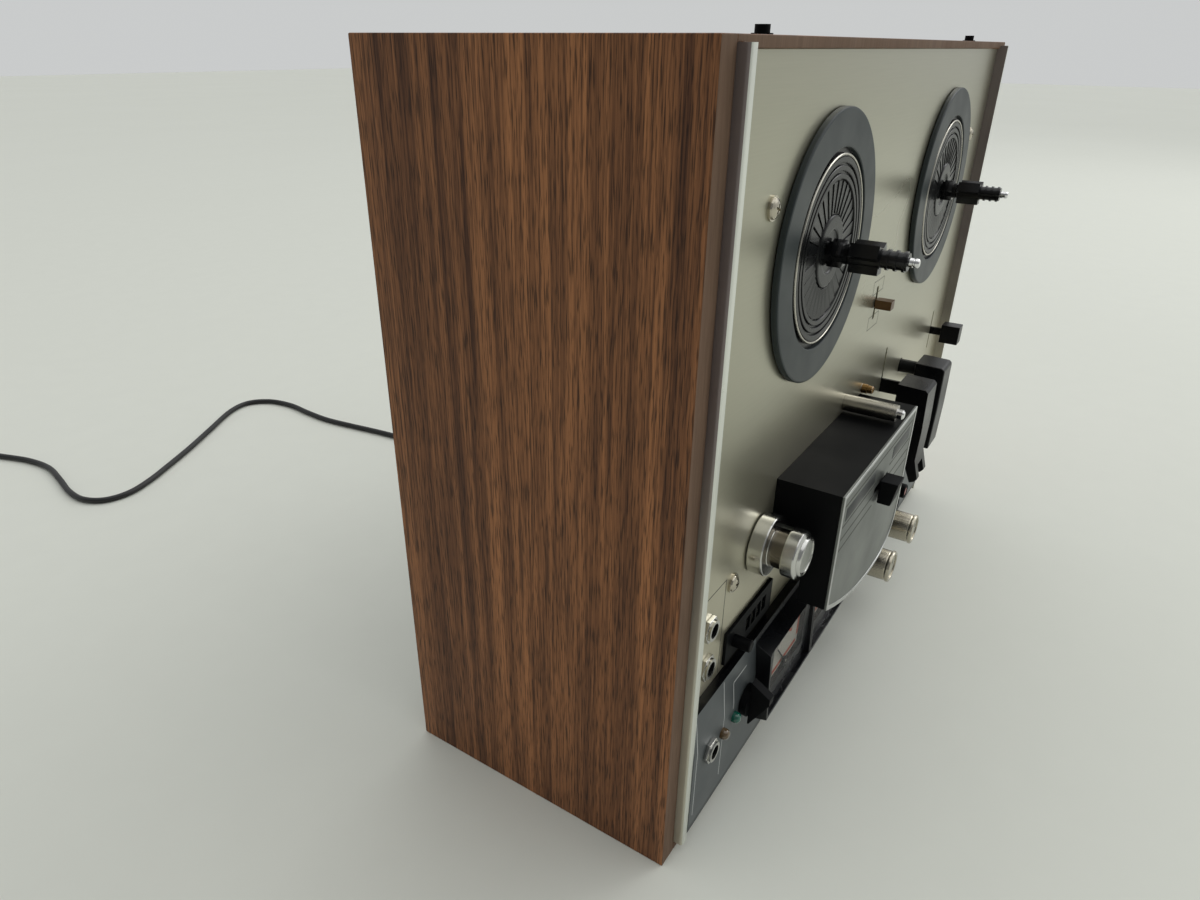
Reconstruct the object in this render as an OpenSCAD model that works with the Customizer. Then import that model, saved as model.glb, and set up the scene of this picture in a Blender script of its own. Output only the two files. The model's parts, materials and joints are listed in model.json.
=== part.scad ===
// Reel-to-reel tape recorder in a walnut cabinet, standing upright.
// X runs to the right seen from the front, the front faces -Y and Z is up.
// The origin is the centre of the cabinet's underside.

/* [Cabinet] */
// Outside width over both side boards
cabinet_w = 407; // [395:1:430]
// Outside height
cabinet_h = 315; // [310:1:340]
// Depth of the boards
cabinet_d = 137; // [132:1:165]
// Thickness of the boards
board_t = 10; // [8:0.5:12]
// Strip of the top board that shows above the deck panel
top_reveal = 3.5; // [2:0.5:6]
// Length of the posts on the back cover
rear_post_len = 19.5; // [10:0.5:30]
// Radius of the posts on the back cover
rear_post_r = 8; // [5:0.5:12]
// Thickness of the back cover
back_cover_t = 3; // [2:0.5:4]

/* [Deck panel] */
// Thickness of the aluminium deck panel
panel_t = 2; // [1.5:0.1:2.5]
// Depth of the deck panel's face behind the boards' front edges
panel_set_back = 1.5; // [1:0.1:2]
// Width of an aluminium side trim
trim_w = 3.5; // [2.5:0.5:5]
// How far the trims stand proud of the boards
trim_proud = 4.2; // [3:0.1:4.4]
// Height of the trims' lower ends over the floor
trim_bottom = 5; // [4:0.5:8]
// Gap between the deck panel and the steel chassis
chassis_gap = 10.5; // [10:0.5:12]
// Thickness of the steel chassis
chassis_t = 2; // [1.5:0.1:3]

/* [Control panel] */
// Height of the lower edge of the black control panel
control_bottom = 4; // [3.5:0.5:6]
// Height of the upper edge of its flat face
control_top = 73; // [71:0.5:74]
// How far its face stands proud of the boards
control_proud = 4.5; // [4:0.1:5.5]
// Wall of the control panel
control_wall = 2.5; // [2:0.1:3]
// Height from which its face leans back
lean_start = 54; // [53.5:0.5:56]
// How far its upper edge leans back
lean_back = 1.9; // [1.5:0.1:2.5]
// Rise of the ledge from the upper edge back to the deck panel
ledge_rise = 0.3; // [0.1:0.1:1]
// Height of the selector's axis
selector_z = 46.5; // [45:0.5:47.5]
// Height of the row of knobs and buttons
control_row_z = 40; // [38:0.5:44]

/* [Reels] */
// Distance between the two reel shafts
reel_spacing = 189.4; // [186:0.2:196]
// Distance from the top of the cabinet down to the reel shafts
reel_from_top = 74.5; // [70:0.5:80]
// Radius of a reel table
table_r = 52.4; // [48:0.2:56]
// Thickness of a reel table
table_t = 2.6; // [2.2:0.1:4]
// Radius of a reel shaft
reel_shaft_r = 4; // [3:0.1:5]
// Reach of the spindle in front of the reel table
spindle_len = 33.6; // [32:0.2:36]
// Radius of the spindle's core, which a reel's hole slips over
spindle_core_r = 3.9; // [3.6:0.1:3.9]
// Reach of the three lobes at the spindle's base
spindle_r = 5.2; // [4.8:0.1:5.6]
// Reach of the three lobes of the reel lock
lobe_r = 6.2; // [5.6:0.1:6.6]

/* [Tape path] */
// Height of the tape between the guides
tape_z = 121; // [120:0.5:123]
// Left end of the head cover
cover_left = -115; // [-118:1:-110]
// Right end of the head cover
cover_right = 0; // [-4:1:2]
// Underside of the head cover
cover_bottom = 91; // [88:0.5:93]
// Top of the head cover
cover_top = 148; // [146:0.5:149]
// How far the head cover stands proud of the boards
cover_proud = 27; // [25:0.5:30]
// Wall of the head cover
cover_wall = 2.5; // [2:0.1:3]
// Thickness of the silver plate on the head cover
face_plate_t = 1.2; // [1:0.1:2]
// Left-hand guide roller: distance from the middle
roller_x = -129; // [-131:0.5:-128.5]
// Left-hand guide roller: radius of its wide flange
roller_flange_r = 13.4; // [12:0.2:13.8]
// Left-hand guide roller: radius of its cap
roller_cap_r = 10.6; // [9:0.2:12]
// Distance of the capstan from the middle
capstan_x = 14; // [13.5:0.5:15]
// Radius of the capstan shaft
capstan_r = 3; // [2.5:0.1:3.2]
// Radius of the flywheel
flywheel_r = 36; // [30:0.5:38]
// Radius of the pinch roller's rubber
pinch_r = 9.5; // [8.5:0.1:9.8]

/* [Levers] */
// Distance of the play lever from the middle
play_x = 43; // [42:0.5:46]
// How far the play lever's handle stands proud of the boards
play_proud = 27.2; // [25:0.2:29]
// Drop of the play lever's tip below its pin
play_drop = 51; // [46:0.5:51]
// How far the winding lever's handle stands proud of the boards
wind_proud = 26.3; // [24:0.2:28]
// Drop of the winding lever's handle below its shaft
wind_drop = 46; // [40:0.5:48]
// Thickness of a lever's handle
handle_t = 5.4; // [4:0.2:6]
// Width of a lever's handle
handle_w = 20; // [16:0.5:22]
// Swing of the play lever, in degrees
play_swing = 28; // [20:1:28]
// Distance of the winding lever from the middle
wind_x = 85; // [84:0.5:90]
// Height of the winding lever's shaft
wind_z = 138; // [136:0.5:140]
// Distance of the power lever from the right end of the panel
power_inset = 32; // [28:0.5:36]
// Height of the power lever at rest
power_z = 141; // [138:0.5:144]
// Swing of the power lever to each side, in degrees
power_swing = 18; // [14:1:20]
// Thickness of the steel lever arms
arm_t = 1.6; // [1.2:0.1:2]

/* [Knobs and meters] */
// Distance of the left level knob from the middle
knob_left_x = 16.5; // [14:0.5:20]
// Distance of the right level knob from the middle
knob_right_x = 66.5; // [60:0.5:69]
// Radius of a level knob
knob_r = 9.5; // [8.5:0.1:10.5]
// How far a knob's face stands proud of the boards
knob_proud = 29.7; // [24:0.1:32]
// Distance of the meter housing from the left end of the panel
meter_inset = 62; // [61.5:0.5:66]
// Width of one meter
meter_w = 58; // [56:0.5:58.5]
// Width of a meter's window
window_w = 41; // [38:0.5:43]
// Underside of the meter housing
meter_bottom = 26; // [25:0.5:27]
// Top of the meter housing
meter_top = 70; // [69:0.5:70.5]

/* [Power cord] */
// Diameter of the mains cord
cord_d = 4.2; // [3.8:0.1:4.4]
// Length of the strain relief
gland_len = 36; // [25:1:50]

/* [Hidden] */
$fn = 48;
// Running gap on the radius of a shaft in its hole
run_gap = 0.05;
// Gap kept between pieces that pass each other
pass_gap = 0.4;
// Small overrun of a cut past a face
cut = 1;

inner_half = cabinet_w / 2 - board_t;
panel_half = inner_half - trim_w;
panel_top = cabinet_h - top_reveal;
panel_face = panel_set_back;
panel_back = panel_face + panel_t;
chassis_face = panel_back + chassis_gap;
chassis_back = chassis_face + chassis_t;
control_face = -control_proud;
control_inner = control_face + control_wall;
ledge_front = control_face + lean_back;
ledge_top = control_top + ledge_rise;
deck_bottom = ledge_top - 5;

// Reel tables
reel_x = reel_spacing / 2;
reel_z = cabinet_h - reel_from_top;
table_front = panel_face - 0.5 - table_t;
bearing_front = panel_back + 4.5;
bearing_len = 26;
bearing_back = bearing_front + bearing_len;
drum_t = 10;
drum_r = 26;
lock_front = table_front - spindle_len + 3.9;
lock_back = table_front - 7.9;
lock_step = table_front - 19.9;
lock_core_r = 4;
lobe_half = 2.6;
lock_pin_r = 1.2;
grip_r = 3.4;

// Guide roller, posts and the spare capstan sleeve
roller_z = 124;
post_r = 2;
waist_r = 8.5;
roller_front = -20.2;
sleeve_x = -28;
sleeve_gap = 5;
sleeve_z = cover_top + sleeve_gap;
sleeve_r = 4.2;
sleeve_front = -24.5;
stud_x = 2;
right_post_x = 122;

// Capstan, pinch roller and their drive
pinch_throw = 12;
pinch_pivot = [31, 100];
pinch_arm_len = 18.87;
pinch_engaged = 180 - asin((tape_z - capstan_r - pinch_r - 0.3 - pinch_pivot[1]) / pinch_arm_len);
pinch_rest = pinch_engaged + pinch_throw;
pinch_x = pinch_pivot[0] + pinch_arm_len * cos(pinch_rest);
pinch_z = pinch_pivot[1] + pinch_arm_len * sin(pinch_rest);
pinch_axle_r = 2;
pinch_shaft_r = 3;
arm_plate_back = panel_face - 0.7;
arm_plate_front = arm_plate_back - 2.6;
pinch_back = arm_plate_front - 0.5;
pinch_len = 12;
flywheel_front = chassis_back + 28;
flywheel_t = 12;
motor_x = 105;
motor_z = 118;
motor_r = 30;
motor_len = 50;
motor_plate_front = flywheel_front + flywheel_t + 2;
motor_plate_t = 4;
motor_plate_half = 35;
pulley_r = 8;
motor_shaft_r = 2.5;
belt_t = 1;
belt_gap = 0.3;

// Head block
cover_front = -cover_proud;
plate_front = cover_front - face_plate_t;
tape_slot_depth = 16;
skirt_bottom = cover_bottom - 22.5;
skirt_low = cover_right - 28;
skirt_pull = cover_left + 47;
head_z = tape_z;
head_places = [-88, -58, -30];
head_size = [13, 11, 16];
bridge_t = 3;
switch_x = -57;
switch_w = 11;
switch_z = [118, 130];
switch_travel = 5;
switch_slot_h = 4;

// Levers
play_pivot = [chassis_back + 18, 139];
play_arm_half = 4;
lever_pin_r = 2;
power_x = panel_half - power_inset;
power_pivot_y = chassis_back + 16;
power_arm_half = 2.5;
power_knob_w = 10;
power_knob_half = 6;
wind_shaft_r = 4;
// Where a handle starts in front of the boards, and half its height there
handle_root = 10;
handle_top = 6;
speed_z = cabinet_h - 117.8;
speed_travel = 6;
speed_tab_h = 4.5;

// Control panel pieces
knob_back = control_face - 1.7;
knob_shaft_r = 3;
pot_r = 8.5;
pot_len = 14;
selector_x = 51.5 - panel_half;
selector_r = 7.5;
button_x = [92, 114];
button_r = 5;
button_travel = 3;
button_stem_r = 2;
lamp_r = 2.6;
green_lamp_x = 39.5 - panel_half;
amber_lamp_x = 27.7 - panel_half;
lamp_z = control_row_z + 5;
phones_x = 14.7 - panel_half;
phones_z = control_row_z + 6.4;
mic_x = 16.5 - panel_half;
mic_heights = [106.7, 87.3];
jack_bore_r = 3.2;
jack_neck_r = 4.5;
jack_body_r = 6.5;
jack_len = 30;

// Meters
meter_left = meter_inset - panel_half;
meter_seam = meter_left + meter_w;
meter_centres = [meter_left + meter_w / 2, meter_seam + meter_w / 2];
window_bottom = meter_bottom + 14;
window_top = meter_top - 5.5;
dial_y = control_face - 2.5;
movement_depth = 20;
needle_len = 19;
needle_rest = 40;
needle_pivot_z = window_bottom + 2.5;
needle_pin_r = 0.6;
needle_y = dial_y - 1;
lens_y = control_face - 4.9;
lens_t = 0.8;
// Recess for the clear cover of a meter, inside a thin wall
meter_wall = 1.5;
recess_half = meter_w / 2 - meter_wall;
recess_bottom = meter_bottom + 3.5;
recess_top = meter_top - 4;

// Counter
counter_left = 33.5 - panel_half;
counter_w = 49.5;
counter_right = counter_left + counter_w;
counter_bottom = ledge_top + 2.7;
counter_h = 16.5;
counter_front = panel_face - 1.5;
counter_wall = 1.2;
wheel_r = 5.6;
wheel_w = 5;
wheel_pitch = 5.8;
wheel_first_x = counter_left + 23;
wheel_z = counter_bottom + counter_h / 2;
wheel_y = counter_front + counter_wall + 0.4 + wheel_r;
wheel_axle_r = 1.5;
ear_left = counter_left + 14.5;
ear_right = counter_right - 1;
ear_t = 1.5;
reset_x = counter_left + 8.5;
reset_r = 2.8;
reset_travel = 2.5;

// Screws: distance of the deck screws from the middle and their heights
screw_x = 153.5;
screw_heights = [cabinet_h - 50, 117];
screw_r = 3.6;
top_screw_x = cabinet_w / 2 - 52;
top_screw_y = chassis_face - 2.6;

// Back of the cabinet
cover_back = cabinet_d - 1;
cover_face = cover_back - back_cover_t;
jack_plate_t = 2;
jack_cut = [0, 130, 30, 80];
jack_lap = 6;
gland_x = 40;
gland_z = 45;
gland_exit = cabinet_d / 2 + gland_len - 1;

// Mains cord: points of the free stretch, laid along the floor to the coil
cord_floor = cord_d / 2 + 0.25;
cord_route = [
    [gland_x, gland_exit, gland_z], [40, 120, 43], [40, 140, 36], [40, 160, 25],
    [40, 180, 14], [40, 200, 5.4], [39, 225, cord_floor], [38, 260, cord_floor],
    [36, 300, cord_floor], [32, 345, cord_floor], [26, 385, cord_floor], [23, 411, cord_floor],
    [24, 438, cord_floor], [26, 464, cord_floor], [21, 488, cord_floor], [6, 502, cord_floor],
    [-16, 498, cord_floor], [-50, 478, cord_floor], [-82, 459, cord_floor], [-110, 444, cord_floor],
    [-134, 432, cord_floor], [-154, 426, cord_floor], [-170, 430, cord_floor], [-179, 444, cord_floor],
    [-179, 465, cord_floor], [-173, 492, cord_floor], [-168, 520, cord_floor], [-171, 547, cord_floor],
    [-180, 574, cord_floor], [-189, 600, 2.8], [-195, 622, 3.4], [-196, 637, 3.4]];
route_steps = 2;
coil_r = 32.6;
coil_centre = [-196 - coil_r, 645];
coil_gap = 0.6;
coil_pitch = cord_d + coil_gap;
coil_layer_turns = 3;
coil_low = 3.4;
coil_turns = 2 * coil_layer_turns + 0.5;
loop_rings = 24;
plug_len = 38;
plug_w = 26;

// Puts a piece that is measured from the boards' front edges in its place
module from_front() {
    translate([0, -cabinet_d / 2, 0]) children();
}

// Box between two values on each axis
module block(x0, x1, y0, y1, z0, z1) {
    translate([x0, y0, z0]) cube([x1 - x0, y1 - y0, z1 - z0]);
}

// Round bar along the depth, from y0 back to y1
module bar_y(x, z, y0, y1, r) {
    translate([x, y0, z]) rotate([-90, 0, 0]) cylinder(h = y1 - y0, r = r);
}

// Round bar along the width, from x0 to x1
module bar_x(x0, x1, y, z, r) {
    translate([x0, y, z]) rotate([0, 90, 0]) cylinder(h = x1 - x0, r = r);
}

// Turned form about an axis along the depth: points are [radius, depth behind y0]
module turned(x, z, y0, points) {
    translate([x, y0, z]) rotate([-90, 0, 0]) rotate_extrude() polygon(points);
}

// Outline in depth and height, drawn out along the width
module profile_x(x0, x1, points) {
    translate([x0, 0, 0]) rotate([90, 0, 90]) linear_extrude(x1 - x0) polygon(points);
}

// Outline in width and height, drawn out along the depth from y0 back to y1
module profile_y(y0, y1, points) {
    translate([0, y1, 0]) rotate([90, 0, 0]) linear_extrude(y1 - y0) polygon(points);
}

// Point on a smooth curve from a to c that is pulled towards b
function curve(a, b, c, t) = a * (1 - t) * (1 - t) + b * 2 * t * (1 - t) + c * t * t;

// Board with its grain upright at one end of the cabinet
module side_board(side) {
    x0 = side < 0 ? -cabinet_w / 2 : inner_half;
    from_front() block(x0, x0 + board_t, 0, cabinet_d, 0, cabinet_h);
}

module side_board_left() {
    color("saddlebrown") side_board(-1);
}

module side_board_right() {
    color("saddlebrown") side_board(1);
}

// Room for the trims in the front corners of the top and bottom boards
module trim_rebates(grow) {
    for (side = [-1, 1])
        translate([side * (inner_half - trim_w / 2), 0, 0])
            block(-trim_w / 2 - grow, trim_w / 2 + grow, -trim_proud - grow, panel_back,
                trim_bottom - grow, panel_top + 1.5 + grow);
}

module top_board() {
    color("sienna") from_front() difference() {
        block(-inner_half, inner_half, 0, cabinet_d, cabinet_h - board_t, cabinet_h);
        block(-inner_half - cut, inner_half + cut, -cut, panel_back, cabinet_h - board_t - cut, panel_top);
        trim_rebates(0);
        for (side = [-1, 1])
            translate([side * top_screw_x, top_screw_y, cabinet_h - board_t - cut])
                cylinder(h = board_t + 2 * cut, r = 2);
    }
}

module bottom_board() {
    color("sienna") from_front() difference() {
        block(-inner_half, inner_half, 0, cabinet_d, 0, board_t);
        trim_rebates(0);
    }
}

module side_trims() {
    color("silver") from_front() intersection() {
        trim_rebates(0);
        for (side = [-1, 1])
            translate([side * inner_half, 0, 0]) mirror([side < 0 ? 1 : 0, 0, 0])
                profile_trim();
    }
}

// Section of one trim: rounded towards the board and flat in front
module profile_trim() {
    round_r = 1.5;
    linear_extrude(cabinet_h) difference() {
        translate([-trim_w, -trim_proud]) square([trim_w, trim_proud + panel_back]);
        translate([-round_r, -trim_proud]) difference() {
            square([round_r + cut, round_r]);
            translate([0, round_r]) circle(r = round_r);
        }
    }
}

// Upright slot for a lever that swings about a pin behind it
module lever_slot(x, z, pivot_y, half, up, down, y0, y1) {
    reach = pivot_y - y0;
    high = reach * tan(up) + half / cos(up) + pass_gap;
    low = reach * tan(down) + half / cos(down) + pass_gap;
    block(x - arm_t / 2 - pass_gap, x + arm_t / 2 + pass_gap, y0 - cut, y1 + cut, z - low, z + high);
}

module deck_panel() {
    color("darkkhaki") from_front() difference() {
        block(-panel_half, panel_half, panel_face, panel_back, deck_bottom, panel_top);
        for (side = [-1, 1])
            bar_y(side * reel_x, reel_z, panel_face - cut, panel_back + cut, reel_shaft_r + 5);
        for (z = mic_heights)
            bar_y(mic_x, z, panel_face - cut, panel_back + cut, jack_neck_r + run_gap);
        for (side = [-1, 1], z = screw_heights)
            bar_y(side * screw_x, z, panel_face - cut, panel_back + cut, screw_r / 2);
        bar_y(capstan_x, tape_z, panel_face - cut, panel_back + cut, capstan_r + 5);
        bar_y(pinch_pivot[0], pinch_pivot[1], panel_face - cut, panel_back + cut, pinch_shaft_r + 0.6);
        bar_y(wind_x, wind_z, panel_face - cut, panel_back + cut, wind_shaft_r + 0.6);
        bar_y(reset_x, wheel_z, panel_face - cut, panel_back + cut, reset_r + pass_gap);
        lever_slot(play_x, play_pivot[1], play_pivot[0], play_arm_half, play_swing, 0,
            panel_face, panel_back);
        lever_slot(power_x, power_z, power_pivot_y, power_arm_half, power_swing, power_swing,
            panel_face, panel_back);
        block(-1.5, 1.5, panel_face - cut, panel_back + cut,
            speed_z - speed_travel - 2.3, speed_z + speed_travel + 2.3);
        block(ear_left - pass_gap, ear_right + pass_gap, panel_face - cut, panel_back + cut,
            counter_bottom + 0.2, counter_bottom + counter_h - 0.2);
    }
}

// Two ears and a pin behind the chassis that carry a lever arm
module lever_bracket(x, y, z) {
    ear_gap = arm_t / 2 + pass_gap;
    ear_w = 3;
    for (side = [-1, 1])
        translate([x + side * (ear_gap + ear_w / 2), 0, 0])
            block(-ear_w / 2, ear_w / 2, chassis_back, y + 6, z - 6, z + 6);
    bar_x(x - ear_gap - ear_w, x + ear_gap + ear_w, y, z, lever_pin_r);
}

module chassis_plate() {
    flange = 9;
    leg_w = 6;
    plate_half = inner_half - 8;
    plate_bottom = counter_bottom + 6;
    roof = cabinet_h - board_t;
    color("lightsteelblue") from_front() {
        difference() {
            union() {
                block(-plate_half, plate_half, chassis_face, chassis_back, plate_bottom, roof);
                block(-plate_half, plate_half, chassis_face - flange, chassis_back, roof - chassis_t, roof);
                for (side = [-1, 1])
                    translate([side * (inner_half - 5 - leg_w / 2), 0, 0])
                        block(-leg_w / 2, leg_w / 2, chassis_face, chassis_back, board_t, plate_bottom + cut);
                for (side = [-1, 1], z = screw_heights)
                    bar_y(side * screw_x, z, panel_back, chassis_face + cut, 4.5);
            }
            for (side = [-1, 1])
                bar_y(side * reel_x, reel_z, chassis_face - cut, chassis_back + cut,
                    reel_shaft_r + 4 + run_gap);
            for (side = [-1, 1], z = screw_heights)
                bar_y(side * screw_x, z, panel_back - cut, chassis_back + cut, screw_r / 2);
            for (z = mic_heights)
                bar_y(mic_x, z, chassis_face - cut, chassis_back + cut, jack_body_r + 1);
            for (side = [-1, 1])
                translate([side * top_screw_x, top_screw_y, roof - chassis_t - cut])
                    cylinder(h = chassis_t + 2 * cut, r = 2);
            bar_y(capstan_x, tape_z, chassis_face - cut, chassis_back + cut, capstan_r + 4 + run_gap);
            bar_y(pinch_pivot[0], pinch_pivot[1], chassis_face - cut, chassis_back + cut,
                pinch_shaft_r + run_gap);
            bar_y(wind_x, wind_z, chassis_face - cut, chassis_back + cut, wind_shaft_r + 3 + run_gap);
            lever_slot(play_x, play_pivot[1], play_pivot[0], play_arm_half, play_swing, play_swing,
                chassis_face, chassis_back);
            lever_slot(power_x, power_z, power_pivot_y, power_arm_half, power_swing, power_swing,
                chassis_face, chassis_back);
        }
        lever_bracket(play_x, play_pivot[0], play_pivot[1]);
        lever_bracket(power_x, power_pivot_y, power_z);
    }
}

// Tube with a flange that seats on the front of the chassis
module bearing(x, z, front, back, bore_r, tube_r) {
    difference() {
        union() {
            bar_y(x, z, front, back, tube_r);
            bar_y(x, z, chassis_face - 3, chassis_face, tube_r + 5);
        }
        bar_y(x, z, front - cut, back + cut, bore_r + run_gap);
    }
}

module shaft_bearings() {
    color("goldenrod") from_front() {
        for (side = [-1, 1])
            bearing(side * reel_x, reel_z, bearing_front, bearing_back, reel_shaft_r, reel_shaft_r + 4);
        bearing(capstan_x, tape_z, panel_back + 1, flywheel_front - 1, capstan_r, capstan_r + 4);
        bearing(wind_x, wind_z, panel_back + 2, chassis_back + 12, wind_shaft_r, wind_shaft_r + 3);
    }
}

// Control panel: an upright face that leans back above, a ledge on top and a tucked lower edge
module control_panel() {
    crease = 6.5;
    tuck = 2.2;
    front = [
        [control_face + tuck, control_bottom], [control_face, control_bottom + crease],
        [control_face, lean_start], [ledge_front, control_top], [panel_face, ledge_top]];
    skin = concat(front, [
        [panel_face, ledge_top - control_wall], [ledge_front + control_wall, control_top - control_wall],
        [control_inner, lean_start - 0.3], [control_inner, control_bottom + crease],
        [control_inner + tuck - 0.5, control_bottom]]);
    cheek = concat(front, [
        [panel_face, board_t + 0.2], [-0.1, board_t + 0.2], [-0.1, control_bottom]]);
    color([0.2, 0.2, 0.21]) from_front() difference() {
        union() {
            profile_x(-panel_half, panel_half, skin);
            profile_x(-panel_half, -panel_half + control_wall, cheek);
            profile_x(panel_half - control_wall, panel_half, cheek);
        }
        for (x = [knob_left_x, knob_right_x])
            bar_y(x, control_row_z, control_face - cut, control_inner + cut, knob_shaft_r + 0.3);
        bar_y(selector_x, selector_z, control_face - cut, control_inner + cut, knob_shaft_r + 0.3);
        for (x = button_x)
            bar_y(x, control_row_z, control_face - cut, control_inner + cut, button_r + 0.3);
        for (x = [green_lamp_x, amber_lamp_x])
            bar_y(x, lamp_z, control_face - cut, control_inner + cut, lamp_r);
        bar_y(phones_x, phones_z, control_face - cut, control_inner + cut, jack_neck_r + run_gap);
        for (x = meter_centres)
            block(x - window_w / 2, x + window_w / 2, control_face - cut, panel_face,
                window_bottom, window_top);
    }
}

// Front of the head cover, drawn in by an inset: square above, a curved skirt below
function cover_outline(inset) = concat(
    [[cover_right - inset, cover_top - inset], [cover_left + inset, cover_top - inset]],
    [for (i = [0:8]) curve([cover_left + inset, cover_bottom + inset], [skirt_pull, skirt_bottom + inset],
        [skirt_low, skirt_bottom + inset], i / 8)],
    [for (i = [1:8]) curve([skirt_low, skirt_bottom + inset], [cover_right - inset, skirt_bottom + inset],
        [cover_right - inset, cover_bottom + 4], i / 8)]);

// Black shell over the heads, open behind, with room for the tape at both ends
module head_cover() {
    color([0.13, 0.13, 0.14]) from_front() difference() {
        union() {
            block(cover_left, cover_right, cover_front, panel_face, cover_bottom, cover_top);
            profile_y(cover_front, cover_front + cover_wall, cover_outline(0));
        }
        block(cover_left + cover_wall, cover_right - cover_wall, cover_front + cover_wall, panel_face + cut,
            cover_bottom + cover_wall, cover_top - cover_wall);
        block(cover_left - cut, cover_right + cut, panel_face - tape_slot_depth, panel_face + cut,
            cover_bottom - cut, tape_z + 6);
        block(switch_x - switch_travel - pass_gap, switch_x + switch_w + switch_travel + pass_gap,
            cover_front - cut, cover_front + cover_wall + cut,
            tape_z + 5 - switch_slot_h / 2, tape_z + 5 + switch_slot_h / 2);
    }
}

// Silver plate on the head cover, with a sunk field inside its rim
module head_face_plate() {
    rim = 1.8;
    color("silver") from_front() difference() {
        profile_y(plate_front, cover_front, cover_outline(0));
        profile_y(plate_front - cut, plate_front + 0.4, cover_outline(rim));
        block(switch_x - switch_travel - pass_gap, switch_x + switch_w + switch_travel + pass_gap,
            plate_front - cut, cover_front + cut,
            tape_z + 5 - switch_slot_h / 2, tape_z + 5 + switch_slot_h / 2);
    }
}

// Black tab on the face plate, sliding along the width
module head_switch() {
    stem_half = switch_slot_h / 2 - 0.3;
    tab = [
        [plate_front - 0.3, switch_z[0]], [plate_front - 6.6, switch_z[0]],
        [plate_front - 8.8, switch_z[1]], [plate_front - 0.3, switch_z[1]]];
    color([0.1, 0.1, 0.1]) from_front() {
        profile_x(switch_x, switch_x + switch_w, tab);
        block(switch_x + 2, switch_x + switch_w - 2, plate_front - 1, cover_front + cover_wall + 0.3,
            tape_z + 5 - stem_half, tape_z + 5 + stem_half);
        block(switch_x + 1, switch_x + switch_w - 1, cover_front + cover_wall + 0.3,
            cover_front + cover_wall + 1.8, tape_z + 1, tape_z + 9);
    }
}

// Base plate of the heads, with two tape guides
module head_bridge() {
    below_tape = 14;
    above_tape = 16;
    guide_inset = 14;
    color("gray") from_front() {
        block(cover_left + 8, cover_right - 8, panel_face - bridge_t, panel_face,
            tape_z - below_tape, tape_z + above_tape);
        for (x = [cover_left + guide_inset, cover_right - guide_inset])
            turned(x, tape_z - 3, panel_face - bridge_t, [[0, 0], [3, 0], [3, -3.8], [2, -3.8], [2, -10.8],
                [3, -10.8], [3, -12.8], [0, -12.8]]);
    }
}

// Erase, recording and playback heads with their rounded fronts on the tape
module tape_heads() {
    color("lightgray") from_front() for (x = head_places)
        intersection() {
            block(x - head_size[0] / 2, x + head_size[0] / 2, panel_face - bridge_t - head_size[1],
                panel_face - bridge_t, head_z, head_z + head_size[2]);
            bar_y(x, head_z + head_size[2] * 0.75, panel_face - 30, panel_face, head_size[2] * 0.75);
        }
}

// Housing of both meters: its face leans back towards the top
module meter_housing() {
    lean = [
        [control_face, meter_bottom], [control_face - 8.1, meter_bottom + 2.3],
        [control_face - 6.3, meter_top - 4.2],
        [control_face + lean_back * (meter_top - lean_start) / (control_top - lean_start), meter_top],
        [control_face, lean_start]];
    color([0.1, 0.1, 0.1]) from_front() difference() {
        profile_x(meter_left, meter_left + 2 * meter_w, lean);
        for (x = meter_centres) {
            block(x - window_w / 2, x + window_w / 2, control_face - 20, panel_face,
                window_bottom, window_top);
            block(x - recess_half, x + recess_half, control_face - 20, lens_y, recess_bottom, recess_top);
        }
        block(meter_seam - 0.4, meter_seam + 0.4, control_face - 20, control_face - 5,
            meter_bottom - cut, meter_top + cut);
    }
}

// Meter boxes: the dials stand in the windows, lugs beside them seat behind the panel
module meter_movements() {
    color("whitesmoke") from_front() for (x = meter_centres) {
        block(x - window_w / 2 + 0.2, x + window_w / 2 - 0.2, dial_y, control_inner + movement_depth,
            window_bottom + 0.2, window_top - 0.2);
        block(x - window_w / 2 - 3, x + window_w / 2 + 3, control_inner, control_inner + 3,
            window_bottom - 2, lean_start - 2);
        bar_y(x, needle_pivot_z, needle_y - 1.2, dial_y + cut, needle_pin_r);
    }
}

module meter_windows() {
    color([0.8, 0.85, 0.85, 0.4]) from_front() for (x = meter_centres)
        block(x - recess_half, x + recess_half, lens_y - lens_t, lens_y, recess_bottom, recess_top);
}

// Needle at rest against its left-hand stop
module needle(x) {
    color("black") from_front() translate([x, needle_y, needle_pivot_z]) rotate([0, -needle_rest, 0])
        difference() {
            union() {
                block(-0.4, 0.4, -0.5, 0, 0, needle_len);
                bar_y(0, 0, -0.9, 0.4, 2);
            }
            bar_y(0, 0, -2, 2, needle_pin_r + run_gap);
        }
}

module needle_left() {
    needle(meter_centres[0]);
}

module needle_right() {
    needle(meter_centres[1]);
}

// Counter housing with a window for each wheel, and the wheels' axle
module counter_frame() {
    top = counter_bottom + counter_h;
    color([0.12, 0.12, 0.12]) from_front() difference() {
        union() {
            block(counter_left, counter_right, counter_front, panel_face, counter_bottom, top);
            for (x = [ear_left, ear_right - ear_t])
                block(x, x + ear_t, panel_face - cut, wheel_y + 4, wheel_z - 4, wheel_z + 4);
        }
        block(ear_left + ear_t, ear_right - ear_t, counter_front + counter_wall, panel_face + cut,
            counter_bottom + 0.5, top - 0.5);
        for (i = [0:3])
            translate([wheel_first_x + i * wheel_pitch, 0, 0])
                block(-2.2, 2.2, counter_front - cut, counter_front + counter_wall + cut,
                    wheel_z - 3.6, wheel_z + 3.6);
        bar_y(reset_x, wheel_z, counter_front - cut, panel_face + cut, reset_r + run_gap);
    }
    color("silver") from_front() bar_x(ear_left, ear_right, wheel_y, wheel_z, wheel_axle_r);
}

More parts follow.
